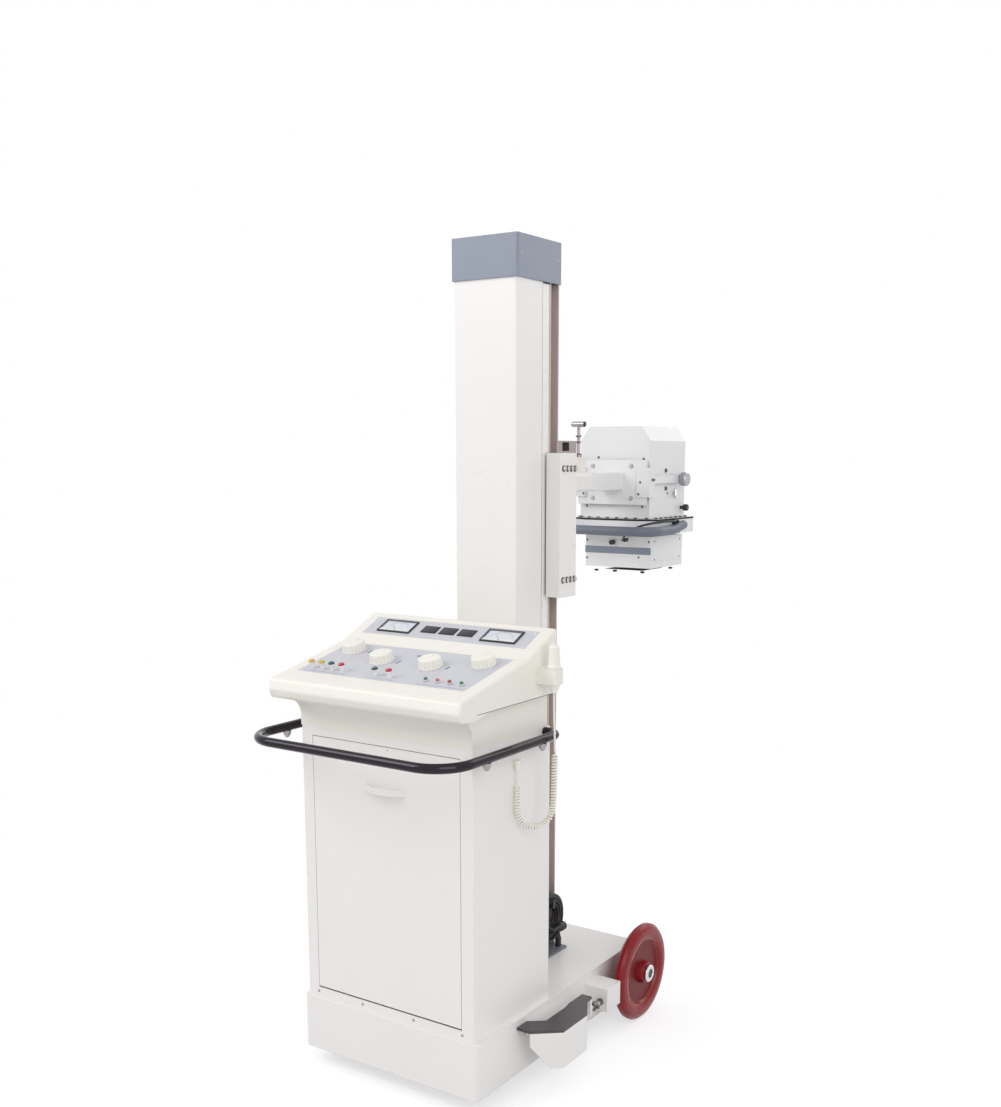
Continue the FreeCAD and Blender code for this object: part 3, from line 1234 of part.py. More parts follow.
def rotary_knob(name, u, v):
    """Knob with a skirt, a fluted grip, and the shaft that turns in the panel."""
    item = slope_body(name, LOWER, u, v)
    top = d.knob_height
    lift = d.seat_gap
    revolve(item, "z", [(-d.knob_shaft_length, ZERO), (-d.knob_shaft_length, d.knob_shaft),
                        (lift, d.knob_shaft), (lift, d.knob_radius),
                        (d.knob_skirt - 2, d.knob_radius), (d.knob_skirt, d.knob_grip + 1),
                        (top - 2, d.knob_grip - 1), (top, d.knob_grip - 4), (top, ZERO)])
    flute = pocket(item, "z", [circle(d.knob_grip + 1, ZERO, d.flute_radius)], d.knob_skirt, top)
    pattern = item.newObject("PartDesign::PolarPattern", f"{name}_flutes")
    pattern.Originals = [flute]
    pattern.Axis = (flute.Profile[0], ["N_Axis"])
    pattern.Angle = 360
    bind(pattern, Occurrences=d.flute_count)
    item.Tip = pattern
    keep(item, name)


def push_button(name, u, v):
    item = slope_body(name, LOWER, u, v)
    shoulder = d.button_height - d.button_cap_height
    revolve(item, "z", [(-d.button_depth, ZERO), (-d.button_depth, d.button_stem),
                        (shoulder, d.button_stem), (shoulder, d.button_cap),
                        (d.button_height - 2, d.button_cap), (d.button_height, d.button_cap - 2),
                        (d.button_height, ZERO)])
    keep(item, name)


def handset_holder():
    block = body("handset_holder")
    console_side = d.console_width / 2
    half = d.holder_half
    pad(block, "z", [rect(console_side, d.holder_reach, d.handset_y - half, d.handset_y + half)],
        d.holder_low, d.holder_top)
    near = d.holder_reach.value - 1
    fillet(block, half / 2, lambda edge: straight(edge, "z") and middle(edge).x > near)
    pocket(block, "z", [circle(d.handset_x, d.handset_y, d.handset_radius + d.seat_gap)],
           d.holder_low, d.holder_top)
    keep(block, "handset_holder")


def handset_body():
    """Hand switch: a round grip whose collar rests on the holder, bored for its button."""
    item = body("handset_body", (d.handset_x, d.handset_y, d.handset_level))
    seat_z = d.holder_top - d.handset_level + d.seat_gap
    top = d.handset_length
    radius = d.handset_radius
    bore = d.handset_button_radius + d.running_gap
    well = top - d.handset_button_depth - d.handset_button_travel - 1
    revolve(item, "z", [(ZERO, ZERO), (ZERO, d.handset_foot), (size(6), d.handset_foot),
                        (size(14), radius), (seat_z, radius), (seat_z, d.handset_lip),
                        (seat_z + 6, d.handset_lip), (seat_z + 10, radius),
                        (top - 6, radius - 1), (top, radius - 4), (top, bore), (well, bore),
                        (well, ZERO)])
    keep(item, "handset_body")


def handset_button():
    top = d.handset_level + d.handset_length
    item = body("handset_button", (d.handset_x, d.handset_y, top))
    radius = d.handset_button_radius
    rise = d.handset_button_rise
    revolve(item, "z", [(-d.handset_button_depth, ZERO), (-d.handset_button_depth, radius),
                        (rise - 2, radius), (rise, radius - 2), (rise, ZERO)])
    keep(item, "handset_button")


# Fittings of the cords, the put-away mains lead and the power unit

def cord_fittings():
    """Gland of the hand switch lead, hook of the mains lead and its outlet on the foot plate."""
    side = d.cabinet_width / 2
    stub = cylinder("gland_stub", "x", (d.gland_y, d.gland_level),
                    (side, side + d.gland_reach), 0.75 * d.gland_radius)
    elbow = cylinder("gland_elbow", "z", (side + d.gland_reach, d.gland_y),
                     (d.gland_level - d.gland_length, d.gland_level + d.gland_radius),
                     d.gland_radius)
    gland = fuse("switch_gland", [stub, elbow])
    post_side = d.column_width / 2 - d.cover_sheet - 0.2
    half = d.hook_half
    plate = box("hook_plate", (post_side, post_side + d.hook_plate),
                (d.coil_y - 2 * half, d.coil_y + 2 * half),
                (d.hook_low - 10, d.hook_low + d.hook_bar + 20))
    arm = box("hook_arm", (post_side, d.hook_reach), (d.coil_y - half, d.coil_y + half),
              (d.hook_low, d.hook_low + d.hook_bar))
    tip = box("hook_tip", (d.hook_reach - 4, d.hook_reach), (d.coil_y - half, d.coil_y + half),
              (d.hook_low, d.hook_low + d.hook_bar + 16))
    foot = d.deck_level + d.foot_plate
    outlet = cylinder("mains_outlet", "z", (d.coil_x, lead_y()), (foot, foot + d.outlet_height),
                      d.outlet_radius)
    keep(group("cord_fittings", [gland, fuse("lead_hook", [plate, arm, tip]), outlet]),
         "cord_fittings")


def coil_level():
    return d.hook_low + d.hook_bar + 1 - d.coil_inner


def lead_y():
    """Where the mains lead rises from its outlet into the rear of the coil."""
    return d.coil_y + (d.coil_inner + d.coil_outer) / 2


def mains_coil():
    """Coiled mains lead on its hook, with the run that rises to it from the outlet."""
    item = body("mains_coil", (d.coil_x, d.coil_y, coil_level()))
    half = d.coil_half
    edge = 6
    revolve(item, "x", [(-half, d.coil_inner + edge), (edge - half, d.coil_inner),
                        (half - edge, d.coil_inner), (half, d.coil_inner + edge),
                        (half, d.coil_outer - edge), (half - edge, d.coil_outer),
                        (edge - half, d.coil_outer), (-half, d.coil_outer - edge)])
    pad(item, "z", [circle(ZERO, lead_y() - d.coil_y, d.mains_radius)],
        d.deck_level + d.foot_plate + d.outlet_height - coil_level(), ZERO)
    keep(item, "mains_coil")


def mains_plug():
    level = coil_level() - d.coil_inner + d.plug_radius + d.seat_gap
    item = body("mains_plug", (d.coil_x, d.coil_y, level))
    half = d.coil_half
    revolve(item, "x", [(-half, ZERO), (-half, d.plug_radius / 2), (4 - half, d.plug_radius),
                        (half, d.plug_radius), (half, ZERO)])
    pad(item, "x", [circle(-d.plug_radius / 2, ZERO, size(2.5))], half, half + 18)
    pad(item, "x", [circle(d.plug_radius / 2, ZERO, size(2.5))], half, half + 18)
    keep(item, "mains_plug")


def power_unit():
    floor = d.deck_level + d.cabinet_wall
    tank = box("power_tank", (-d.power_half, d.power_half), (d.power_front, d.power_rear),
               (floor, d.power_top))
    middle_y = (d.power_front + d.power_rear) / 2
    pieces = [tank]
    for side, name in ((-1, "left"), (1, "right")):
        pieces.append(cylinder(f"terminal_{name}", "z", (d.terminal_x * side, middle_y),
                               (d.power_top, d.power_top + d.terminal_height),
                               d.terminal_radius))
    keep(fuse("power_unit", pieces), "power_unit")


def build():
    chassis_frame()
    caster_fork()
    caster_wheel()
    rear_axle()
    rear_wheel()
    brake_boxes()
    brake_pedal()
    column_cover()
    mast_post()
    mast_rails()
    column_cap()
    rope_pulley()
    counterweight()
    wire_rope()
    carriage_housing()
    upper, lower = roller_levels()
    rollers("upper_rollers", upper)
    rollers("lower_rollers", lower)
    arm_socket()
    arm_lock_handle()
    arm_bar()
    yoke_frame()
    pivot_knob()
    head_cover()
    head_pan()
    tube_insert()
    collimator_housing()
    shutter_knob()
    head_cable()
    ring_handle()
    cabinet_shell()
    cabinet_door()
    console_housing()
    control_panels()
    meter_bezels()
    meter_needle("meter_needle_left", -1)
    meter_needle("meter_needle_right", 1)
    indicator_lamps()
    for name, u, v in knob_places():
        rotary_knob(name, u, v)
    for name, u, v in button_places():
        push_button(name, u, v)
    handset_holder()
    handset_body()
    handset_button()
    handset_cord()
    handle_rail()
    cord_fittings()
    mains_coil()
    mains_plug()
    power_unit()


def check_and_export():
    """Stops on any failed object or bad shape, and then writes one file for each sub-part."""
    doc.recompute()
    for item in doc.Objects:
        if "Invalid" in item.State or "Error" in item.State:
            raise RuntimeError(f"{item.Label} failed: {item.State}")
    for item in parts:
        if item.Shape.isNull() or not item.Shape.isValid() or not item.Shape.Solids:
            raise RuntimeError(f"{item.Label} has a bad shape")
    os.makedirs("parts", exist_ok=True)
    for item in parts:
        item.Shape.exportStep(f"parts/{item.Label}.step")
    print(len(parts), "sub-parts written")


build()
check_and_export()
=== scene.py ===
import math

import bmesh
import bpy
from bpy.props import FloatProperty, FloatVectorProperty, PointerProperty
from mathutils import Matrix, Vector


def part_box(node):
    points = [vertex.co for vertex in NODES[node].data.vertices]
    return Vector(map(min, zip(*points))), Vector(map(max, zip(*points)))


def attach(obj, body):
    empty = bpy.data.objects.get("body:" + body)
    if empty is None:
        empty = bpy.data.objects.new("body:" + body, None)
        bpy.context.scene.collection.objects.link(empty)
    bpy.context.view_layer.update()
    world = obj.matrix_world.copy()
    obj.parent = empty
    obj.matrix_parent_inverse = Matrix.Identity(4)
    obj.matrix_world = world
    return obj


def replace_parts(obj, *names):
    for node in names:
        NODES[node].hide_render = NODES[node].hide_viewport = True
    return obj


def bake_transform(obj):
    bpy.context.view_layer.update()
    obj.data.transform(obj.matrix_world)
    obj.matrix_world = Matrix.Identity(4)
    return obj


bl_info = {
    "name": "Mobile X-ray Unit",
    "version": (1, 0, 0),
    "blender": (4, 5, 0),
    "location": "3D Viewport > Sidebar > X-ray Unit",
    "description": "Dresses the packed X-ray unit: finishes, leads, fasteners, meters and trim",
    "category": "Object",
}

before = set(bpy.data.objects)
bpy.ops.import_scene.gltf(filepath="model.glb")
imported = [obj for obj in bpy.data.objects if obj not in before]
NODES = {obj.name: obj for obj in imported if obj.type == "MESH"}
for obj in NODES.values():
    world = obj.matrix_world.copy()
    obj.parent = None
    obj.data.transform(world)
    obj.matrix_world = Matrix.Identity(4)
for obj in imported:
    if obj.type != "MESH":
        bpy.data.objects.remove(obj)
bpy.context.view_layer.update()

# Places are in millimetres, y from the plinth's front. The unit's middle lies 571 mm behind it.
MM = 0.001
MIDDLE = 571


def at(x, y, z):
    """A place in millimetres, y from the plinth's front, as a point of the frame."""
    return Vector((x, y - MIDDLE, z)) * MM


LOW = 0
HIGH = 1


def reach(node, axis, end):
    """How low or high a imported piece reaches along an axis, in the same millimetres."""
    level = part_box(node)[end]["xyz".index(axis)] / MM
    return round(level + MIDDLE if axis == "y" else level, 2)


def middle(node, axis):
    """The level halfway between the two."""
    return (reach(node, axis, LOW) + reach(node, axis, HIGH)) / 2


DESIGN = Matrix.Translation(at(0, 0, 0))
FRONT = (0, -1, 0)
BACK = (0, 1, 0)
RIGHT = (1, 0, 0)
UP = (0, 0, 1)
DOWN = (0, 0, -1)
BOTH_SIDES = (-1, 1)

# The console's two slopes: sine and cosine of each, and the foot that its places are taken from
LOWER = (0.21606, 0.97638)
UPPER = (0.43173, 0.90200)
DESK_FOOT = (0, -70, 967)
BRIDGE_FOOT = (0, 183, 1023)
DESK_NORMAL = (0.0, -LOWER[0], LOWER[1])
BRIDGE_NORMAL = (0.0, -UPPER[0], UPPER[1])

# Places across and up the slopes, and how far a push button's white stem stands off the desk
METERS = (-153, 153)
METER_LINE = 78
WINDOWS = (-54, 0, 54)
LAMPS = ((117, "green"), (149, "amber"), (181, "red"), (213, "green"))
LAMP_LINE = 84
KNOBS = ((-187, 205), (-70, 164), (70, 164), (187, 205))
BUTTON_STEM = 16.5

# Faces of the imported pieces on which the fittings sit; the cabinet's front is flush with its door
CABINET_FRONT = reach("cabinet_shell", "y", LOW)
CONSOLE_SIDE = reach("console_housing", "x", HIGH)
CHASSIS_SIDE = reach("chassis_frame", "x", HIGH)
COLUMN_FOOT = reach("column_cover", "z", LOW)
CAP_SIDE = reach("column_cap", "x", HIGH)
CARRIAGE_SIDE = reach("carriage_housing", "x", HIGH)
BRACKET_FRONT = reach("yoke_frame", "y", LOW)
PLATE_FRONT = reach("arm_bar", "y", HIGH)
COVER_FRONT = reach("head_cover", "y", LOW)
COVER_BACK = reach("head_cover", "y", HIGH)
COVER_SIDE = 112
PAN_TOP = reach("head_pan", "z", HIGH)
LIMITER_FRONT = reach("collimator_housing", "y", LOW)
LIMITER_SIDE = reach("collimator_housing", "x", HIGH)
LIMITER_FOOT = 1140

# Lines that pieces turn about or lie along
RAIL_LINE = 287
WHEEL_FACE = reach("rear_wheel_right", "x", HIGH) + 0.4
AXLE = (middle("rear_wheel_right", "y"), middle("rear_wheel_right", "z"))
PEDAL_ROD = (306, 118)
LOCK_Y = middle("arm_lock_handle", "y")

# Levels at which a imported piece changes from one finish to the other
PEDAL_TREAD = 153.7
FITTINGS_CHANGE = 500
SOCKET_CHANGE = 720.5

# Radius and height of the heads that come more than once, and the share of a flange washer
COVER_SCREW = (3.6, 1.8)
FLANGE_BOLT = (4.8, 4.2, 1.2)
PLATE_BOLT = (5.0, 4.0)

# Routes of the leads and the rope
SWITCH_ROUTE = [(308, 232, 946), (308, 232, 895), (309, 235, 844), (309, 236, 793),
                (308, 235, 742), (308, 232, 666), (293.79, 211.12, 640), (273.21, 180.88, 640),
                (258, 159, 666), (259, 160, 722), (259, 160, 778)]
LAMP_ROUTE = [(143, 1160, 1283), (155, 1146, 1285), (153, 1100, 1286), (135, 1030, 1283),
              (95.9, 1016, 1272.4), (54.8, 1024, 1251.2), (32, 1048, 1234), (28, 1064, 1230)]
LAMP_SOCKET = (137, 1160, 1283)
TURN = 2 * math.pi
STEPS_PER_TURN = 14
COIL = (108, 533, 274)
COIL_CORE = 0.0435
OUTLET = (108, 586, 203)
ROPE_RADIUS = 2.5
ROPE_FRONT = reach("wire_rope", "y", LOW) + ROPE_RADIUS
ROPE_REAR = reach("wire_rope", "y", HIGH) - ROPE_RADIUS
ROPE_ENDS = {"carriage": 1400, "counterweight": reach("counterweight", "z", HIGH)}
PULLEY_LEVEL = middle("rope_pulley", "z")


# Sizes and colours that a user would change

def length(name, description, default):
    return FloatProperty(name=name, description=description, default=default, min=0.0,
                         unit="LENGTH", precision=4)


def colour(name, description, default):
    return FloatVectorProperty(name=name, description=description, default=default, size=3,
                               min=0.0, max=1.0, subtype="COLOR")


class XrayColours(bpy.types.PropertyGroup):
    enamel: colour("Enamel", "White of the cabinet, the column and the chassis",
                   (0.90, 0.875, 0.85))
    ivory: colour("Ivory", "Console moulding, knobs, hand switch and its lead",
                  (0.90, 0.875, 0.80))
    head: colour("Head enamel", "Cooler white of the tube head and the beam limiter",
                 (0.86, 0.855, 0.86))
    blue_grey: colour("Blue-grey", "Column cap, positioning handle and limiter band",
                      (0.25, 0.28, 0.35))
    panel: colour("Panel print", "Printed control panels", (0.58, 0.58, 0.63))
    print_blue: colour("Panel marks", "Marks printed round the controls", (0.10, 0.22, 0.42))
    rail_steel: colour("Rail steel", "Bare rails up the back of the column", (0.60, 0.52, 0.49))
    wheel_red: colour("Wheel red", "Moulded rear wheels", (0.24, 0.004, 0.008))
    red: colour("Signal red", "Red caps and lenses", (0.50, 0.015, 0.03))
    yellow: colour("Signal yellow", "Yellow caps", (0.62, 0.42, 0.03))
    green: colour("Signal green", "Green lenses", (0.01, 0.16, 0.09))
    black: colour("Black", "Black plastics and rubber", (0.016, 0.016, 0.018))


class XraySizes(bpy.types.PropertyGroup):
    lead_radius: length("Switch lead radius", "Radius of the hand switch lead", 0.0025)
    curl_radius: length("Curl radius", "Middle of the curled turns from the lead's line", 0.0052)
    curl_pitch: length("Curl pitch", "Distance between curled turns", 0.0068)
    mains_radius: length("Mains lead radius", "Radius of the mains lead", 0.0035)
    lamp_radius: length("Lamp lead radius", "Radius of the beam limiter's lamp lead", 0.0030)
    screw: length("Screw", "Head radius of a cover screw", 0.0038)


# Node graphs

class Socket:
    """An output socket; arithmetic on it adds Math nodes."""

    def __init__(self, graph, output):
        self.graph = graph
        self.output = output

    def maths(self, operation, *values):
        node = self.graph.node("ShaderNodeMath", {"operation": operation},
                               dict(enumerate(values)))
        return node.out(0)

    def __add__(self, other):
        return self.maths("ADD", self, other)

    def __radd__(self, other):
        return self.maths("ADD", other, self)

    def __sub__(self, other):
        return self.maths("SUBTRACT", self, other)

    def __rsub__(self, other):
        return self.maths("SUBTRACT", other, self)

    def __mul__(self, other):
        return self.maths("MULTIPLY", self, other)

    def __rmul__(self, other):
        return self.maths("MULTIPLY", other, self)

    def __truediv__(self, other):
        return self.maths("DIVIDE", self, other)

    def __pow__(self, other):
        return self.maths("POWER", self, other)

    def sine(self):
        return self.maths("SINE", self)

    def absolute(self):
        return self.maths("ABSOLUTE", self)

    def above(self, level):
        return self.maths("GREATER_THAN", self, level)

    def clamped(self):
        return self.maths("MAXIMUM", self.maths("MINIMUM", self, 1.0), 0.0)


class Node:
    """A node, whose outputs are read as sockets."""

    def __init__(self, graph, node):
        self.graph = graph
        self.node = node

    def out(self, key=0):
        return Socket(self.graph, self.node.outputs[key])


class Graph:
    """The node graph of one material or of the world."""

    def __init__(self, tree):
        self.tree = tree
        tree.nodes.clear()

    def node(self, kind, settings=None, inputs=None):
        """Adds a node: its settings first, then the values or links of its inputs."""
        node = self.tree.nodes.new(kind)
        for key, value in (settings or {}).items():
            setattr(node, key, value)
        for key, value in (inputs or {}).items():
            self.feed(node.inputs[key], value)
        return Node(self, node)

    def feed(self, target, value):
        if isinstance(value, Socket):
            self.tree.links.new(value.output, target)
        elif hasattr(value, "__len__") and len(value) == 3 and len(target.default_value) == 4:
            target.default_value = (*value, 1.0)
        else:
            target.default_value = value

    def place(self):
        """The point's place in its object."""
        return self.node("ShaderNodeTexCoord").out("Object")

    def vector(self, operation, first, second=(0.0, 0.0, 0.0), result="Vector"):
        return self.node("ShaderNodeVectorMath", {"operation": operation},
                         {0: first, 1: second}).out(result)

    def axis(self, name):
        return self.node("ShaderNodeSeparateXYZ", None, {0: self.place()}).out(name)

    def noise(self, scale, detail=2.0, roughness=0.5, stretch=(1.0, 1.0, 1.0)):
        """Noise over the object's own place; stretch squeezes it along an axis."""
        spread = self.vector("MULTIPLY", self.place(), stretch)
        return self.node("ShaderNodeTexNoise", None,
                         {"Vector": spread, "Scale": scale, "Detail": detail,
                          "Roughness": roughness}).out("Fac")

    def blend(self, factor, first, second):
        """A colour between two."""
        return self.node("ShaderNodeMix", {"data_type": "RGBA"},
                         {0: factor, 6: first, 7: second}).out(2)

    def bump(self, height, distance, strength, edge=0.0):
        """The normal with a bump, over edges rounded by a small radius."""
        inputs = {"Height": height, "Distance": distance, "Strength": strength}
        if edge:
            inputs["Normal"] = self.node("ShaderNodeBevel", {"samples": 4},
                                         {"Radius": edge}).out()
        return self.node("ShaderNodeBump", None, inputs).out()

    def surface(self, **values):
        """The principled shader and the output. A double underscore stands for a space."""
        shader = self.node("ShaderNodeBsdfPrincipled", None,
                           {key.replace("__", " "): value for key, value in values.items()})
        self.node("ShaderNodeOutputMaterial", None, {"Surface": shader.out()})

    def seen(self):
        """1 where the camera looks, directly or in something bright or clear, and else 0."""
        rays = self.node("ShaderNodeLightPath")
        return (rays.out("Is Camera Ray") + rays.out("Is Glossy Ray")
                + rays.out("Is Transmission Ray")).clamped()

    def shader(self, kind, shade, **values):
        """A plain shader of one colour."""
        return self.node(kind, None, {"Color": shade, **values}).out()

    def choice(self, factor, first, second):
        """A shader between two."""
        return self.node("ShaderNodeMixShader", None, {0: factor, 1: first, 2: second}).out()


# Materials

def tint(shade, factor):
    """A colour made lighter or darker."""
    return tuple(min(1.0, part * factor) for part in shade)


def enamel(graph, shade, gloss=0.32, peel=0.00005):
    """Baked enamel on sheet steel: faint orange peel, soft smudges and slightly rubbed shade."""
    cloud = graph.noise(5.0, 3.0)
    smudge = graph.noise(22.0, 4.0, 0.6)
    base = graph.blend(cloud * 0.55, shade, tint(shade, 0.955))
    base = graph.blend((smudge - 0.62) * 1.2, base, tint(shade, 0.90))
    graph.surface(Base__Color=base, Roughness=gloss + (smudge - 0.5) * 0.14,
                  Normal=graph.bump(graph.noise(420.0), peel, 0.5, 0.0012),
                  Coat__Weight=0.06, Coat__Roughness=0.12)


def moulded(graph, shade, gloss=0.38, grain=0.00006, scale=900.0, edge=0.0010):
    """Moulded plastic with a fine spark grain and a little yellowing."""
    cloud = graph.noise(9.0, 3.0)
    graph.surface(Base__Color=graph.blend(cloud * 0.5, shade, tint(shade, 0.93)),
                  Roughness=gloss + (graph.noise(60.0, 3.0) - 0.5) * 0.16,
                  Normal=graph.bump(graph.noise(scale, 1.0), grain, 0.5, edge))


def brushed(graph, shade, rough, stretch, stain=0.35, metal=1.0):
    """Drawn or brushed steel: streaks along one axis and dull stains."""
    streak = graph.noise(16.0, 3.0, 0.6, stretch)
    dull = graph.noise(7.0, 4.0, 0.65)
    base = graph.blend(streak, tint(shade, 0.78), tint(shade, 1.18))
    base = graph.blend((dull - 0.45) * 2.0 * stain, base, tint(shade, 0.45))
    graph.surface(Base__Color=base, Metallic=metal, Roughness=rough + (dull - 0.5) * 0.3,
                  Normal=graph.bump(streak, 0.00006, 0.4, 0.0006))


def plated(graph, shade, rough):
    """Bright plating with fine scratches and finger marks."""
    mark = graph.noise(35.0, 4.0, 0.65)
    scratch = graph.noise(300.0, 2.0, 0.5, (1.0, 6.0, 1.0))
    graph.surface(Base__Color=graph.blend(mark, shade, tint(shade, 0.86)), Metallic=1.0,
                  Roughness=rough + (mark - 0.45) * 0.22,
                  Normal=graph.bump(scratch, 0.00002, 0.25, 0.0006))


def rubber(graph, shade, rough, dust, grain=0.00012):
    """Moulded rubber with a dusty bloom."""
    bloom = graph.noise(28.0, 4.0, 0.65)
    dusty = tuple(part * 0.6 + 0.16 for part in shade)
    graph.surface(Base__Color=graph.blend((bloom - 0.4) * 2.0 * dust, shade, dusty),
                  Roughness=rough + (bloom - 0.5) * 0.2,
                  Normal=graph.bump(graph.noise(700.0), grain, 0.5, 0.0008))


def red_wheel(graph, shade):
    """Red moulded wheel: darker scuffed tread, worn rim edges and painted shade in the recess,
    broken up by noise.
    """
    recess_inside = 0.028
    recess_outside = 0.082
    rim_edge = 0.083
    bloom = graph.noise(24.0, 5.0, 0.7)
    scuff = graph.noise(90.0, 4.0, 0.7)
    across = graph.axis("Y") - at(0, AXLE[0], 0).y
    up = graph.axis("Z") - AXLE[1] * MM
    away = (across * across + up * up) ** 0.5
    # Painted shade: the recess between the hub and the rim is darkened in the colour, broken up by
    # the bloom noise
    recess_shade = (((recess_outside - away) / 0.004).clamped()
            * ((away - recess_inside) / 0.006).clamped())
    worn = 1.0 - ((away - rim_edge).absolute() / 0.004).clamped()
    base = graph.blend((bloom - 0.35) * 1.3, shade, tint(shade, 1.5))
    base = graph.blend((scuff - 0.58) * 2.0, base, tint(shade, 0.45))
    base = graph.blend(recess_shade * (0.35 + bloom * 0.6), base, tint(shade, 0.42))
    base = graph.blend(worn * (scuff - 0.25) * 1.1, base, (0.30, 0.13, 0.10))
    graph.surface(Base__Color=base, Roughness=0.24 + recess_shade * 0.2 + (bloom - 0.5) * 0.2,
                  Normal=graph.bump(scuff, 0.0002, 0.3, 0.0012), Specular__IOR__Level=0.30)


def printed_panel(graph, shade):
    """Matt printed plate with a hardly seen screen texture."""
    cloud = graph.noise(14.0, 3.0)
    graph.surface(Base__Color=graph.blend(cloud * 0.6, shade, tint(shade, 1.12)),
                  Roughness=0.36 + (cloud - 0.5) * 0.12,
                  Normal=graph.bump(graph.noise(1500.0, 1.0), 0.00003, 0.4, 0.0004))


def lens(graph, shade):
    """Coloured lamp lens, unlit, with moulded facets lightened as painted glints below the skin and
    a faint painted glow.
    """
    facet_glint = graph.noise(900.0, 1.0)
    # Painted glints: the facets are lightened in the colour, which also feeds a faint painted glow
    # though the lamp is unlit
    base = graph.blend(facet_glint, shade, tint(shade, 2.4))
    graph.surface(Base__Color=base, Roughness=0.10 + facet_glint * 0.08, Coat__Weight=0.6,
                  Emission__Color=base, Emission__Strength=0.01)


def clear_glass(graph):
    """Thin clear window with a faint smear."""
    graph.surface(Base__Color=(0.9, 0.93, 0.95), Roughness=0.04 + graph.noise(40.0, 3.0) * 0.06,
                  Alpha=0.10)


def dark_window(graph):
    """Smoked display window, unlit."""
    smear = graph.noise(55.0, 3.0)
    graph.surface(Base__Color=graph.blend(smear, (0.008, 0.006, 0.014), (0.020, 0.016, 0.030)),
                  Roughness=0.34 + smear * 0.1)


def dial_card(graph):
    """Pale printed dial card."""
    cloud = graph.noise(60.0)
    graph.surface(Base__Color=graph.blend(cloud, (0.80, 0.82, 0.86), (0.72, 0.74, 0.80)),
                  Roughness=0.5 + cloud * 0.1)


def twisted(graph):
    """Steel wire rope: slanted strands along Z, with painted shade in the grooves between them, and
    grease.
    """
    strand_relief_and_shade = (graph.axis("Z") * 900.0 + graph.axis("X") * 1400.0).sine() * 0.5 + 0.5
    grease = graph.noise(30.0, 3.0)
    # Painted shade: the grooves between the strands are darkened in the colour, and the grease
    # noise varies it
    base = graph.blend(strand_relief_and_shade * 0.6 + grease * 0.4, (0.10, 0.09, 0.08), (0.50, 0.48, 0.45))
    graph.surface(Base__Color=base, Metallic=0.9, Roughness=0.35 + grease * 0.2,
                  Normal=graph.bump(strand_relief_and_shade, 0.0004, 0.7))


def split(graph, first, second, direction, level):
    """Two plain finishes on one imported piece, parted by a plane across a direction.

    Each is a colour, a roughness and a share of metal."""
    beyond = graph.vector("DOT_PRODUCT", graph.place(), direction, "Value").above(level)
    cloud = graph.noise(24.0, 4.0, 0.6)
    base = graph.blend(beyond, first[0], second[0])
    shifts = [tint(shade, 0.93 if max(shade) > 0.3 else 1.6) for shade, _, _ in (first, second)]
    base = graph.blend((cloud - 0.45) * 0.9, base, graph.blend(beyond, *shifts))
    rough = first[1] + (second[1] - first[1]) * beyond + (cloud - 0.5) * 0.16
    graph.surface(Base__Color=base, Roughness=rough,
                  Metallic=first[2] + (second[2] - first[2]) * beyond,
                  Normal=graph.bump(graph.noise(600.0), 0.00007, 0.5, 0.0010))


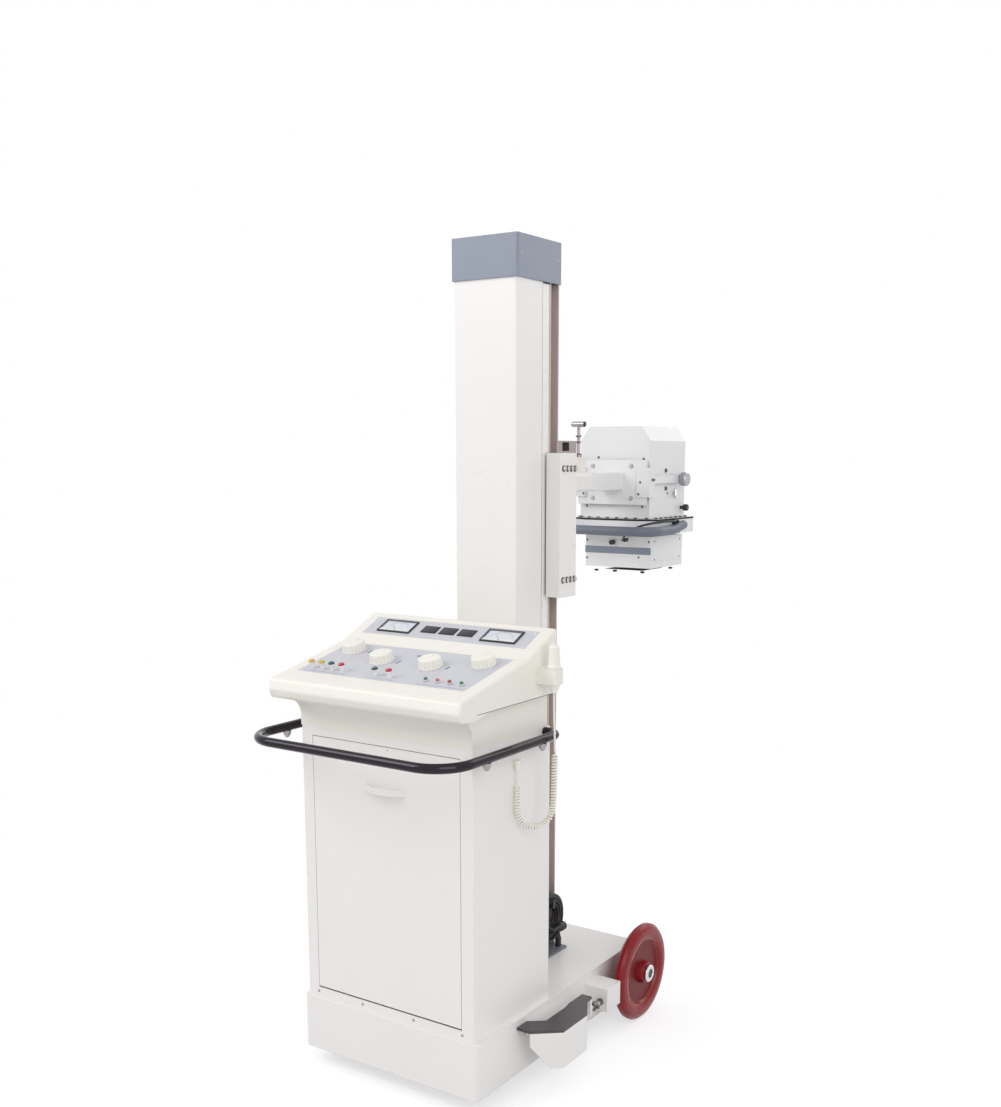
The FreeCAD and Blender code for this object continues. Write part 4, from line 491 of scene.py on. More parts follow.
def finishes(tones):
    """Each finish: its material's name, its maker and what the maker is given."""
    white = (0.84, 0.84, 0.82)
    ivory = tones.ivory
    black = tones.black
    grey = tones.blue_grey
    foot = at(*DESK_FOOT)
    stem_top = -LOWER[0] * foot.y + LOWER[1] * foot.z + BUTTON_STEM * MM

    def capped(title, shade):
        """A white stem under a coloured cap, parted along the desk's normal."""
        return title, split, (white, 0.26, 0.0), (shade, 0.24, 0.0), DESK_NORMAL, stem_top

    return {
        "enamel": ("white_enamel", enamel, tones.enamel),
        "column": ("column_enamel", enamel, tint(tones.enamel, 1.01), 0.30),
        "head": ("head_enamel", enamel, tones.head, 0.36, 0.00007),
        "blue_grey": ("blue_grey_enamel", enamel, grey, 0.40, 0.00010),
        "ivory": ("ivory_moulding", moulded, ivory),
        "knob": ("ivory_knob", moulded, tint(ivory, 1.02), 0.42, 0.00004, 1400.0, 0.0008),
        "white_plastic": ("white_plastic", moulded, white, 0.34),
        "black": ("black_plastic", moulded, black, 0.42),
        "gloss_black": ("gloss_black", moulded, black, 0.20, 0.00001),
        "frame": ("dark_frame", moulded, (0.008, 0.007, 0.014), 0.36, 0.00002),
        "red": ("red_plastic", moulded, tones.red, 0.24, 0.00001),
        "sleeve": ("blue_grey_sleeve", rubber, tint(grey, 0.60), 0.5, 0.1),
        "tyre": ("black_tyre", rubber, black, 0.62, 0.3),
        "jacket": ("black_jacket", rubber, black, 0.48, 0.12, 0.00006),
        "ivory_jacket": ("ivory_jacket", rubber, tint(ivory, 1.02), 0.45, 0.1, 0.00004),
        # Black of the head's gasket, also used for the painted shadow strip at the console's neck
        "gasket": ("black_gasket", rubber, tint(black, 0.8), 0.7, 0.1),
        "iron": ("cast_iron", rubber, (0.06, 0.06, 0.065), 0.6, 0.3, 0.0006),
        "panel": ("panel_print", printed_panel, tones.panel),
        "marks": ("blue_marks", printed_panel, tones.print_blue),
        "rail_steel": ("rail_steel", brushed, tones.rail_steel, 0.5, (60.0, 60.0, 1.5), 0.2, 0.2),
        "zinc": ("zinc_steel", brushed, (0.52, 0.51, 0.50), 0.30, (8.0, 8.0, 8.0), 0.25),
        "turned": ("turned_steel", brushed, (0.60, 0.58, 0.55), 0.22, (90.0, 2.0, 2.0), 0.2),
        "steel": ("plain_steel", brushed, (0.42, 0.38, 0.37), 0.38, (6.0, 6.0, 6.0), 0.3),
        "pivot": ("pivot_knob", brushed, (0.46, 0.44, 0.46), 0.30, (8.0, 8.0, 8.0), 0.3),
        "fastener": ("dark_fastener", brushed, (0.17, 0.15, 0.16), 0.34, (9.0, 9.0, 9.0)),
        "dark_chrome": ("dark_chrome", plated, (0.040, 0.036, 0.042), 0.06),
        "chrome": ("bright_plating", plated, (0.72, 0.71, 0.70), 0.12),
        "wheel": ("wheel_red", red_wheel, tones.wheel_red),
        "lens_red": ("red_lens", lens, tint(tones.red, 0.42)),
        "lens_amber": ("orange_lens", lens, (0.36, 0.05, 0.03)),
        "lens_green": ("green_lens", lens, tint(tones.green, 0.6)),
        "glass": ("clear_window", clear_glass),
        "window": ("smoked_window", dark_window),
        "card": ("dial_card", dial_card),
        "rope": ("wire_rope_strands", twisted),
        "socket": ("socket_casting", split, ((0.36, 0.31, 0.30), 0.42, 0.75),
                   (tint(tones.enamel, 0.99), 0.34, 0.0), BACK, at(0, SOCKET_CHANGE, 0).y),
        "pedal": ("pedal_sheet", split, (tones.enamel, 0.34, 0.0),
                  ((0.060, 0.048, 0.052), 0.38, 0.0), UP, PEDAL_TREAD * MM),
        "fitting": ("cord_fittings", split, (black, 0.42, 0.0), (ivory, 0.40, 0.0), UP,
                    FITTINGS_CHANGE * MM),
        "post": ("mast_and_foot", split, ((0.17, 0.18, 0.21), 0.45, 0.0),
                 (tint(tones.enamel, 1.03), 0.28, 0.0), UP, (COLUMN_FOOT + 0.2) * MM),
        "button_yellow": capped("yellow_button", tones.yellow),
        "button_red": capped("red_button", tones.red),
        "button_dark": capped("dark_button", (0.015, 0.07, 0.06)),
    }


made = {}


def material(title, maker, *values):
    """The material of that name, which its maker fills when it is first asked for."""
    if title not in made:
        made[title] = bpy.data.materials.new(title)
        made[title].use_nodes = True
        maker(Graph(made[title].node_tree), *values)
    return made[title]


def finish(name):
    """The finish of that name in the user's colours."""
    return material(*finishes(bpy.context.scene.xray_colours)[name])


# Mesh building

def polygon(sides, radius):
    """Points round a circle in X and Y."""
    return [(radius * math.cos(TURN * k / sides), radius * math.sin(TURN * k / sides))
            for k in range(sides)]


def rounded(inner, outer, low, high, inset=0.6, drop=0.6):
    """The profile of a collar with chamfered outer edges."""
    return [(inner, low), (outer - inset, low), (outer, low + drop), (outer, high - drop),
            (outer - inset, high), (inner, high)]


def facing(point, direction, twist=0.0):
    """A placement whose Z looks along a direction."""
    turn = Vector(direction).to_track_quat("Z", "Y").to_matrix().to_4x4()
    return Matrix.Translation(point) @ turn @ Matrix.Rotation(twist, 4, "Z")


class Shape:
    """A mesh being built from turned, raised, boxed and tubular forms.

    Their sizes are in millimetres, except for a tube's, and their placements are in metres."""

    def __init__(self, name):
        self.name = name
        self.mesh = bmesh.new()
        self.materials = []
        self.index = 0

    def use(self, finish_name):
        """What is added from now on has this finish."""
        chosen = finish(finish_name)
        if chosen not in self.materials:
            self.materials.append(chosen)
        self.index = self.materials.index(chosen)
        return self

    def add(self, points, faces, place):
        """Points in metres on a placement, and the faces between them."""
        corners = [self.mesh.verts.new(place @ Vector(point)) for point in points]
        for face in faces:
            self.mesh.faces.new([corners[i] for i in face]).material_index = self.index
        return self

    def turned(self, profile, place, segments=24):
        """A closed form turned about Z from (radius, height) points; a zero radius is a pole."""
        points = []
        rows = []
        for radius, height in profile:
            ring = polygon(segments, radius) if radius else [(0.0, 0.0)]
            rows.append([len(points) + step % len(ring) for step in range(segments)])
            points += [(x * MM, y * MM, height * MM) for x, y in ring]
        faces = []
        for low, high in zip(rows, rows[1:]):
            for step in range(segments):
                after = (step + 1) % segments
                corners = [low[step], low[after], high[after], high[step]]
                kept = [c for i, c in enumerate(corners) if c != corners[i - 1]]
                if len(kept) > 2:
                    faces.append(kept)
        faces += [row for row in (rows[0][::-1], rows[-1]) if row[0] != row[1]]
        return self.add(points, faces, place)

    def ring(self, profile, place, segments=24):
        """A ring turned about Z; the profile closes on itself."""
        points = [(x * MM, y * MM, height * MM) for radius, height in profile
                  for x, y in polygon(segments, radius)]
        faces = []
        for row in range(len(profile)):
            low = row * segments
            high = (row + 1) % len(profile) * segments
            for step in range(segments):
                after = (step + 1) % segments
                faces.append([low + step, low + after, high + after, high + step])
        return self.add(points, faces, place)

    def prism(self, outline, low, high, place, edge=0.0):
        """An outline in X and Y raised from low to high, its top edge chamfered."""
        count = len(outline)
        centre = sum((Vector(point) for point in outline), Vector((0.0, 0.0))) / count
        layers = [(low, 0.0), (high - edge, 0.0), (high, edge)] if edge else [(low, 0.0), (high, 0)]
        points = []
        for height, inset in layers:
            for point in outline:
                away = Vector(point) - centre
                shrunk = away * (1 - inset / away.length) + centre
                points.append((shrunk.x * MM, shrunk.y * MM, height * MM))
        faces = [list(reversed(range(count)))]
        for layer in range(0, len(points) - count, count):
            for i in range(count):
                j = (i + 1) % count
                faces.append([layer + i, layer + j, layer + count + j, layer + count + i])
        faces.append(list(range(len(points) - count, len(points))))
        return self.add(points, faces, place)

    def block(self, low, high, edge, place=DESIGN):
        """A box between two corners with rounded edges."""
        low = Vector(low) * MM
        high = Vector(high) * MM
        size = Vector([abs(b - a) for a, b in zip(low, high)])
        centre = (high + low) / 2
        piece = bmesh.new()
        bmesh.ops.create_cube(piece, size=1.0)
        bmesh.ops.scale(piece, vec=size, verts=piece.verts)
        if edge:
            bmesh.ops.bevel(piece, geom=piece.edges[:], offset=min(edge * MM, min(size) * 0.4),
                            segments=2, profile=0.6, affect="EDGES")
        piece.verts.index_update()
        points = [vertex.co + centre for vertex in piece.verts]
        faces = [[vertex.index for vertex in face.verts] for face in piece.faces]
        piece.free()
        return self.add(points, faces, place)

    def tube(self, line, radius, sides=12):
        """A round tube along a line of points in metres, its ends capped."""
        rings = []
        normal = None
        for i, point in enumerate(line):
            along = (line[min(i + 1, len(line) - 1)] - line[max(i - 1, 0)]).normalized()
            if normal is None:
                normal = Vector(UP if abs(along.z) < 0.9 else RIGHT)
            normal = (normal - along * normal.dot(along)).normalized()
            side = along.cross(normal)
            rings.append([self.mesh.verts.new(point + (normal * x + side * y) * radius)
                          for x, y in polygon(sides, 1.0)])
        faces = [[low[k], low[k - 1], high[k - 1], high[k]] for low, high in zip(rings, rings[1:])
                 for k in range(sides)]
        for face in faces + [rings[0], rings[-1][::-1]]:
            self.mesh.faces.new(face).material_index = self.index
        return self

    def build(self, body=None, slot=None, angle=35.0):
        """Makes the object, smooth but for its sharp edges, and hangs it on a body."""
        bmesh.ops.recalc_face_normals(self.mesh, faces=self.mesh.faces[:])
        data = bpy.data.meshes.new(self.name)
        self.mesh.to_mesh(data)
        self.mesh.free()
        for chosen in self.materials:
            data.materials.append(chosen)
        data.shade_smooth()
        data.set_sharp_from_angle(angle=math.radians(angle))
        piece = bpy.data.objects.new(self.name, data)
        bpy.context.scene.collection.objects.link(piece)
        if body:
            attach(piece, body)
        return piece


def screw(shape, point, direction, radius, height):
    """Pan-head screw with a cross recess, its head sunk a little into what it holds."""
    place = facing(point, direction, 0.3)
    dome = [(radius * math.cos(angle), height * math.sin(angle))
            for angle in map(math.radians, (0, 25, 50, 72))]
    shape.turned([(radius, -height * 0.6), *dome, (radius * 0.28, height * 0.98),
                  (radius * 0.2, height * 0.55), (0.0, height * 0.5)], place, 20)
    for turn in (0.0, math.pi / 2):
        shape.block((-radius * 0.62, -radius * 0.1, height * 0.86),
                    (radius * 0.62, radius * 0.1, height * 0.93), 0.0,
                    place @ Matrix.Rotation(turn, 4, "Z"))


def hex_bolt(shape, point, direction, radius, height, washer=1.35, twist=0.2):
    """Hex head on a plain washer, or on none."""
    place = facing(point, direction, twist)
    if washer:
        hole = radius * 0.3
        rim = radius * washer
        shape.ring([(hole, -0.2), (rim, -0.2), (rim, height * 0.14), (rim * 0.97, height * 0.18),
                    (hole, height * 0.18)], place)
    shape.prism(polygon(6, radius), height * 0.16, height, place, radius * 0.14)


def acorn_nut(shape, point, direction, radius):
    """Hex nut closed by a dome."""
    place = facing(point, direction, 0.4)
    bulge = radius * 0.78
    shape.prism(polygon(6, radius), 0.0, radius * 0.7, place, radius * 0.1)
    dome = [(bulge * math.cos(angle), radius * 0.7 + radius * 0.75 * math.sin(angle))
            for angle in map(math.radians, (0, 20, 40, 60, 78))]
    shape.turned([(bulge, radius * 0.6), *dome, (0.0, radius * 1.45)], place)


# Leads

def route(name, points):
    """A smooth line of the kind that a laid lead takes, with the points as its controls."""
    data = bpy.data.curves.new(name, "CURVE")
    data.dimensions = "3D"
    data.resolution_u = 12
    spline = data.splines.new("NURBS")
    spline.points.add(len(points) - 1)
    for control, point in zip(spline.points, points):
        control.co = (*point, 1.0)
    spline.order_u = 3
    spline.use_endpoint_u = True
    return data


def read_line(name, points):
    """Points along the route's own spline."""
    data = route(name, points)
    holder = bpy.data.objects.new(name, data)
    bpy.context.scene.collection.objects.link(holder)
    bpy.context.view_layer.update()
    mesh = bpy.data.meshes.new_from_object(holder)
    line = [vertex.co.copy() for vertex in mesh.vertices]
    bpy.data.objects.remove(holder)
    bpy.data.meshes.remove(mesh)
    bpy.data.curves.remove(data)
    return line


def measured(line):
    return sum((b - a).length for a, b in zip(line, line[1:]))


def along_line(line, distances):
    """Points and directions at distances along a line."""
    found = []
    index = 0
    passed = 0.0
    for distance in distances:
        while index < len(line) - 2 and passed + (line[index + 1] - line[index]).length < distance:
            passed += (line[index + 1] - line[index]).length
            index += 1
        step = line[index + 1] - line[index]
        share = min(1.0, max(0.0, (distance - passed) / step.length))
        found.append((line[index] + step * share, step.normalized()))
    return found


def switch_lead(sizes):
    """Plain at the switch, then closely curled down the loop and up to the gland."""
    line = read_line("switch_route", [at(*point) for point in SWITCH_ROUTE])
    total = measured(line)
    plain_top = 0.125
    plain_end = 0.022
    start = plain_top
    end = total - plain_end
    settle = 1.3 * STEPS_PER_TURN
    steps = int((end - start) / sizes.curl_pitch * STEPS_PER_TURN - settle * 8 / 3)

    def grown(k):
        """How far the curl has opened at a step: 0 at both ends and 1 between."""
        share = min(1.0, k / settle, (steps - k) / settle)
        return share * share * (3 - 2 * share)

    # A step covers up to five times the length where the curl opens, so there are fewer of them
    reached = [0.0]
    for k in range(steps):
        reached.append(reached[-1] + 1 + 4 * (1 - grown(k)) ** 2)
    places = along_line(line, [start + (end - start) * part / reached[-1] for part in reached])
    side = places[0][1].orthogonal().normalized()
    curled = []
    for k, (point, along) in enumerate(places):
        side = (side - along * side.dot(along)).normalized()
        angle = TURN * k / STEPS_PER_TURN
        offset = side * math.cos(angle) + along.cross(side) * math.sin(angle)
        curled.append(point + offset * sizes.curl_radius * grown(k))
    head = [point for point, _ in along_line(line, [start * k / 14 for k in range(14)])]
    tail = [point for point, _ in along_line(line, [end + (total - end) * k / 4
                                                    for k in range(1, 5)])]
    path = head + curled + tail
    lead = Shape("switch_lead").use("ivory_jacket").tube(path, sizes.lead_radius, 8).build(angle=80)
    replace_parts(lead, "handset_cord")
    measured(path)
    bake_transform(lead)


def lamp_lead(sizes):
    """Black lead from the pan's side round its corner to the limiter's front."""
    line = read_line("lamp_route", [at(*point) for point in LAMP_ROUTE])
    lead = Shape("lamp_lead").use("jacket").tube(line, sizes.lamp_radius).build(angle=80)
    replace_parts(lead, "head_cable")
    plugged = facing(at(*LAMP_ROUTE[-1]), BACK)
    plug = Shape("lamp_plug").use("gloss_black")
    plug.turned([(2.9, -10), (3.6, -6), (4.2, 0), (5.8, 1), (6, 4), (6, 11.5), (5.2, 12), (0, 12)],
                plugged)
    plug.use("chrome").ring([(4.5, 10.5), (8.2, 10.5), (8.2, 12.2), (4.5, 12.2)], plugged)
    plug.build("collimator", "black_plastic")
    socket = Shape("lamp_socket").use("black")
    socket.block((-11, -8, 0), (11, 8, 9), 1.0, facing(at(*LAMP_SOCKET), RIGHT))
    socket.turned([(6.2, 9), (5.8, 12.5), (3.8, 15), (3, 19), (0, 19)],
                  facing(at(*LAMP_SOCKET), (1, -0.25, 0.02)), 20)
    housing = socket.build("head", "black_plastic")
    measured(line)
    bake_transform(lead)


def coil_turns(sizes):
    """Control points of the put-away turns: four layers wound to and fro, from the outside in."""
    pitch = 2.17 * sizes.mains_radius
    turns_per_layer = 2.6
    width = turns_per_layer * pitch * 0.98
    steps = int(turns_per_layer * STEPS_PER_TURN)
    points = []
    angle = 0.0
    for layer in range(4):
        outward = 3 - layer
        radius = COIL_CORE + pitch * outward
        way = 1 if layer % 2 == 0 else -1
        for k in range(steps):
            loose = radius + 0.0004 * outward * math.sin(angle * 0.37 + layer)
            sag = 1.0 + 0.0075 * outward * (1 - math.sin(angle))
            points.append((way * (k / steps - 0.5) * width, loose * math.cos(angle),
                           loose * sag * math.sin(angle)))
            angle += TURN / STEPS_PER_TURN
        for k in range(1, 5 if outward else 1):
            size = radius - pitch * k / 5
            points.append((way * 0.5 * width, size * math.cos(angle), size * math.sin(angle)))
            angle += TURN / STEPS_PER_TURN
    return points, angle


def mains_path(sizes):
    """Control points from the outlet up into the coil, round it and in to the plug."""
    centre = at(*COIL)
    outlet = at(*OUTLET)
    turns, angle = coil_turns(sizes)
    path = [outlet, outlet + Vector((-0.001, 0.0, 0.020)), outlet + Vector((-0.005, 0.004, 0.045))]
    path += [centre + Vector(point) for point in turns]
    lane = turns[-1][0]
    plug_lane = 0.0245
    plug_radius = 0.025
    bottom = 0.75 * TURN
    end = bottom + TURN * math.ceil((angle - bottom) / TURN)
    steps = max(5, int((end - angle) / TURN * STEPS_PER_TURN))
    for k in range(1, steps + 1):
        share = k / steps
        now = angle + (end - angle) * share
        size = COIL_CORE + (plug_radius - COIL_CORE) * share
        path.append(centre + Vector((lane + (plug_lane - lane) * min(1.0, 1.25 * share),
                                     size * math.cos(now), size * math.sin(now))))
    return path + [path[-1] + Vector((0.0, 0.010, 0.0))]


def mains_plug(tail, thick):
    """Ribbed grip with three pins at the lead's end, whose radius is given in millimetres."""
    plug = Shape("mains_plug_grip").use("black")
    place = facing(tail, BACK, math.pi / 2)
    plug.turned([(thick * 0.8, -26), (thick * 1.25, -26), (thick * 1.6, -4), (thick * 1.75, 0),
                 (9.5, 3), (11.8, 8), (12.4, 14), (11.2, 17), (11.2, 20), (12.4, 23), (12, 27),
                 (10.8, 28.5), (0, 28.5)], place, 28)
    for level in (-22, -16.5, -11, -5.5):
        plug.ring([(thick * 1.1, level), (thick * 1.62, level + 0.4), (thick * 1.62, level + 2.4),
                   (thick * 1.1, level + 2.8)], place)
    plug.use("chrome")
    for x, y, size in ((-5.8, -2, 2.2), (5.8, -2, 2.2), (0, 5.5, 2.4)):
        plug.turned([(size, 27), (size, 44), (size * 0.7, 46), (0, 46)],
                    place @ Matrix.Translation((x * MM, y * MM, 0)), 16)
    return plug.build("base", "black_plastic")


def mains_lead(sizes):
    """Mains lead put away in loose turns on its hook, its plug hanging against them."""
    path = mains_path(sizes)
    data = route("mains_lead", path)
    data.bevel_depth = sizes.mains_radius
    data.bevel_resolution = 4
    data.resolution_u = 4
    data.use_fill_caps = True
    data.materials.append(finish("jacket"))
    lead = bpy.data.objects.new("mains_lead", data)
    bpy.context.scene.collection.objects.link(lead)
    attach(lead, "base")
    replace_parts(lead, "mains_coil")
    grip = mains_plug(path[-1], sizes.mains_radius / MM)
    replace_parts(grip, "mains_plug")
    boot = Shape("mains_outlet_boot").use("black")
    boot.turned([(8.5, -1.5), (8.8, 1), (7, 3), (6.6, 6), (5.8, 7), (5.5, 12), (4.9, 13),
                 (4.6, 22), (4, 23.5), (0, 23.5)], facing(path[0], UP))
    collar = boot.build("base", "black_plastic")
    measured(read_line("mains_measure", path))


def wire_rope():
    """The rope's two runs, which lengthen and shorten as the carriage slides, and its wrap."""
    for name, y, body in (("rope_carriage_run", ROPE_REAR, "carriage"),
                          ("rope_weight_run", ROPE_FRONT, "counterweight")):
        low = ROPE_ENDS[body]
        line = [at(0, y, low + (PULLEY_LEVEL - low) * k / 48) for k in range(49)]
        run = Shape(name).use("rope").tube(line, ROPE_RADIUS * MM).build(angle=80)
        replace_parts(run, "wire_rope")
        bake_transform(run)
    centre = (ROPE_FRONT + ROPE_REAR) / 2
    wrap = (ROPE_REAR - ROPE_FRONT) / 2
    line = [at(0, centre + wrap * math.cos(angle), PULLEY_LEVEL + wrap * math.sin(angle))
            for angle in (math.pi * k / 32 for k in range(33))]
    top = Shape("rope_wrap").use("rope").tube(line, ROPE_RADIUS * MM)
    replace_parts(top.build("base", "rope_steel", 80), "wire_rope")


# Small fitted parts

def slope_place(u, v, w, foot, slope):
    """A placement on a sloped panel: X along it, Y up it and Z off it."""
    sine, cosine = slope
    turn = Matrix(((1, 0, 0), (0, cosine, -sine), (0, sine, cosine))).to_4x4()
    return Matrix.Translation(at(*foot)) @ turn @ Matrix.Translation((u * MM, v * MM, w * MM))


def desk(u, v, w=0.0):
    return slope_place(u, v, w, DESK_FOOT, LOWER)


def bridge(u, v, w=0.0):
    return slope_place(u, v, w, BRIDGE_FOOT, UPPER)


def meter(shape, x):
    """A dial's card, ticks and arc, the white strip under them, its screw and its glass."""
    wide = 45
    high = 21
    scale = 35.5
    face = bridge(x, METER_LINE)
    pivot = bridge(x, 61)
    shape.use("card").block((-wide, -high, 0.0), (wide, high, 0.15), 0.0, face)
    shape.use("black")
    for step in range(21):
        inner, width = (31.5, 0.45) if step % 5 == 0 else (33.5, 0.25)
        shape.block((inner, -width, 0.12), (scale, width, 0.22), 0.0,
                    pivot @ Matrix.Rotation(math.radians(30 + 6 * step), 4, "Z"))
    arc = [pivot @ (Vector((scale * math.cos(angle), scale * math.sin(angle), 0.17)) * MM)
           for angle in (math.radians(30 + 4 * k) for k in range(31))]
    shape.tube(arc, 0.00012, 4)
    shape.use("white_plastic").block((-wide, -high, 1.3), (wide, -11, 2.2), 0.1, face)
    screw(shape.use("fastener"), bridge(x, 62, 2.2).translation, BRIDGE_NORMAL, 2.2, 0.4)
    shape.use("glass").block((-wide, -high, 2.7), (wide, high, 3.0), 0.0, face)


def knob_marks(shape, u, v):
    """Ticks printed round a knob, the mark beside it and the raised pointer on it."""
    shape.use("marks")
    for step in range(11):
        shape.block((34.5, -0.5, 0.0), (38.5 if step % 5 == 0 else 37, 0.5, 0.12), 0.0,
                    desk(u, v) @ Matrix.Rotation(math.radians(-45 + 27 * step), 4, "Z"))
    if u < KNOBS[-1][0]:
        shape.block((-3, -9, 0.0), (3, 9, 0.12), 0.0, desk(u + 46, v + 2))
    shape.use("ivory").block((-1.1, 6, -0.2), (1.1, 24, 0.9), 0.3, desk(u, v, 22))


def console_trims():
    """Meters, windows, lamp lenses, panel marks, panel screws and a black strip painted as the
    shadow line at the neck.
    """
    shape = Shape("console_trims")
    for x in METERS:
        meter(shape, x)
    shape.use("window")
    for x in WINDOWS:
        shape.block((-19.5, -11.5, 1.3), (19.5, 11.5, 1.9), 0.3, bridge(x, METER_LINE))
    for x, tone in LAMPS:
        shape.use(f"lens_{tone}").turned([(4.6, 5.5), (4.6, 6.6), (4.1, 8.4), (2.7, 9.8),
                                          (0, 10.3)], desk(x, LAMP_LINE))
    for u, v in KNOBS:
        knob_marks(shape, u, v)
    shape.use("marks")
    shape.prism([(11 * math.cos(0.35 * k), 5 * math.sin(0.35 * k)) for k in range(18)],
                0.0, 0.12, desk(4, 214))
    for left, right in ((-226, -100), (-38, 38), (101, 229)):
        shape.block((left, 66, 0.0), (right, 67, 0.12), 0.0, desk(0, 0))
    shape.use("chrome")
    for u in (-230, 230):
        for v in (64, 244):
            screw(shape, desk(u, v).translation, DESK_NORMAL, 2.8, 1.0)
        for v in (47, 105):
            screw(shape, bridge(u, v).translation, BRIDGE_NORMAL, 2.6, 1.0)
    # Painted shadow: a thin black strip along each side where the moulding overhangs the neck, in
    # the gasket's black
    shape.use("gasket")
    for side in BOTH_SIDES:
        shape.block(((CONSOLE_SIDE - 0.6) * side, -14, 931.2),
                    ((CONSOLE_SIDE + 0.1) * side, 276, 932.3), 0.0)
    shape.build("base", "black_plastic")


def cabinet_trims(sizes):
    """Screws of the cabinet, column and chassis, the push rail's nuts and the painted shadow strips
    in the column's seams.
    """
    shape = Shape("cabinet_trims").use("steel")
    head = sizes.screw / MM
    for x in (-214, -76, 76, 214):
        screw(shape, at(x, CABINET_FRONT, 191), FRONT, head, 1.6)
    for side in BOTH_SIDES:
        screw(shape, at(CHASSIS_SIDE * side, 194, 131), (side, 0, 0), head, 1.6)
        for y in (419, 584):
            screw(shape, at(CAP_SIDE * side, y, 1932), (side, 0, 0), head, 1.8)
        for y in (-3, 218):
            acorn_nut(shape, at(RAIL_LINE * side, y, 824), DOWN, 8.5)
            shape.turned([(10, -5), (10, 0.6), (9.2, 1.2), (0, 1.2)],
                         facing(at(RAIL_LINE * side, y, 824.4), DOWN))
        # Painted shadow: a thin steel strip in the gap between the column's cover and its post
        shape.block((90.0 * side, 519.4, 182), (90.9 * side, 521.0, 1878), 0.0)
    shape.build("base", "zinc_steel")


def door_trims(sizes):
    """Screws on the tilting front."""
    shape = Shape("door_trims").use("chrome")
    for x, z in ((12, 819), (-12, 208)):
        screw(shape, at(x, CABINET_FRONT, z), FRONT, sizes.screw / MM * 0.8, 1.4)
    shape.build("door", "zinc_steel")


def hub_trims():
    """Washers and turned centres outside the wheels, each with a black disc painted as the shade of
    the hub's bore.
    """
    shape = Shape("hub_trims")
    for side in BOTH_SIDES:
        place = facing(at(WHEEL_FACE * side, *AXLE), (side, 0, 0))
        shape.use("chrome").ring([(12, 0), (22.2, 0), (22.8, 1), (22.8, 6.2), (21.6, 7.8),
                                  (20, 8.4), (15, 9.2), (13, 9.2), (12, 8)], place, 48)
        # Painted shade: a black disc where the hub's bore shows dark
        shape.use("black").turned([(12.1, 7), (12.1, 8.4), (6, 8.6), (0, 8.6)], place, 36)
    shape.build("base", "zinc_steel")


def pedal_trims():
    """Sleeve, collars and clamp bolt on each pedal's rod."""
    x, z = PEDAL_ROD
    for side, name in ((-1, "left"), (1, "right")):
        rod = facing(at(x * side, 408, z), BACK)
        shape = Shape(f"pedal_trims_{name}").use("zinc")
        shape.ring([(4.9, 0), (6, 0), (6, 60), (4.9, 60)], rod, 28)
        shape.use("fastener")
        shape.ring(rounded(5.5, 10.4, 20, 33.8, 0.6, 0.8), rod, 32)
        shape.ring(rounded(5.5, 8.8, 52, 60, 0.4, 0.6), rod, 32)
        hex_bolt(shape, at((x + 10) * side, 435, z), (side, 0, 0), 4.4, 5.0, 0)
        shape.build(f"pedal_{name}", "zinc_steel")


def carriage_trims():
    """Axle nuts of the guide rollers on the carriage's sides."""
    shape = Shape("carriage_trims")
    for side in BOTH_SIDES:
        for z in (1437, 1162):
            for y in (549, 567, 585, 603):
                spot = at(CARRIAGE_SIDE * side, y, z)
                shape.use("fastener")
                shape.turned([(8.2, -0.4), (8.2, 1), (0, 1)], facing(spot, (side, 0, 0)))
                hex_bolt(shape.use("zinc"), spot, (side, 0, 0), 6.2, 5.8, 0, 0.3 * y)
    shape.build("carriage", "zinc_steel")


def lock_trims():
    """Collars on the tee handle's rod and caps on its bar."""
    shape = Shape("lock_trims").use("fastener")
    for z, radius in ((1520, 7.8), (1504, 6.6), (1472, 8.2)):
        shape.ring(rounded(4, radius, -2.2, 2.2), facing(at(0, LOCK_Y, z), UP), 28)
    shape.use("gloss_black")
    for side in BOTH_SIDES:
        shape.turned([(7.2, -0.6), (7.4, 0.4), (5.8, 2.4), (0, 3)],
                     facing(at(18.2 * side, LOCK_Y, 1552), (side, 0, 0)))
    shape.build("arm_lock", "bare_steel")


def yoke_trims():
    """Bolts of the arm's plate, its corner brackets and side bars."""
    shape = Shape("yoke_trims").use("fastener")
    for side in BOTH_SIDES:
        for x, z in ((94, 1395), (89, 1362)):
            screw(shape, at(x * side, BRACKET_FRONT, z), FRONT, *COVER_SCREW)
        for y in (1046, 1056):
            hex_bolt(shape, at(123 * side, y, 1402), (side, 0, 0), 4.0, 3.2, 0)
    shape.use("zinc")
    for x in (-62, 62):
        for z in (1350, 1440):
            hex_bolt(shape, at(x, PLATE_FRONT, z), FRONT, *PLATE_BOLT)
    shape.build("arm", "zinc_steel")


def flange_trims(shape):
    """Gasket between the head's pan and cover, and the bolts round it."""
    half = [(85, 1029.4), (137.6, 1057.8), (137.6, 1288.2), (127.8, 1298.6)]
    outline = [(-85, 1029.4), *half, *((-x, y) for x, y in half[:0:-1])]
    shape.use("gasket").prism(outline, 1286.8, 1291.9, DESIGN)
    shape.block((-112.6, 1052.4, 1291.9), (112.6, 1275.6, 1292.9), 0.3)
    shape.use("fastener")
    for x in range(-75, 76, 30):
        for y in (1041, 1287):
            hex_bolt(shape, at(x, y, PAN_TOP), UP, *FLANGE_BOLT, x * 0.1)
    for side in BOTH_SIDES:
        for y in range(1072, 1264, 31):
            hex_bolt(shape, at(124.5 * side, y, PAN_TOP), UP, *FLANGE_BOLT, y * 0.1)
        hex_bolt(shape, at(106 * side, 1050, PAN_TOP), UP, 4.4, 4.2, 1.2, 0.5)


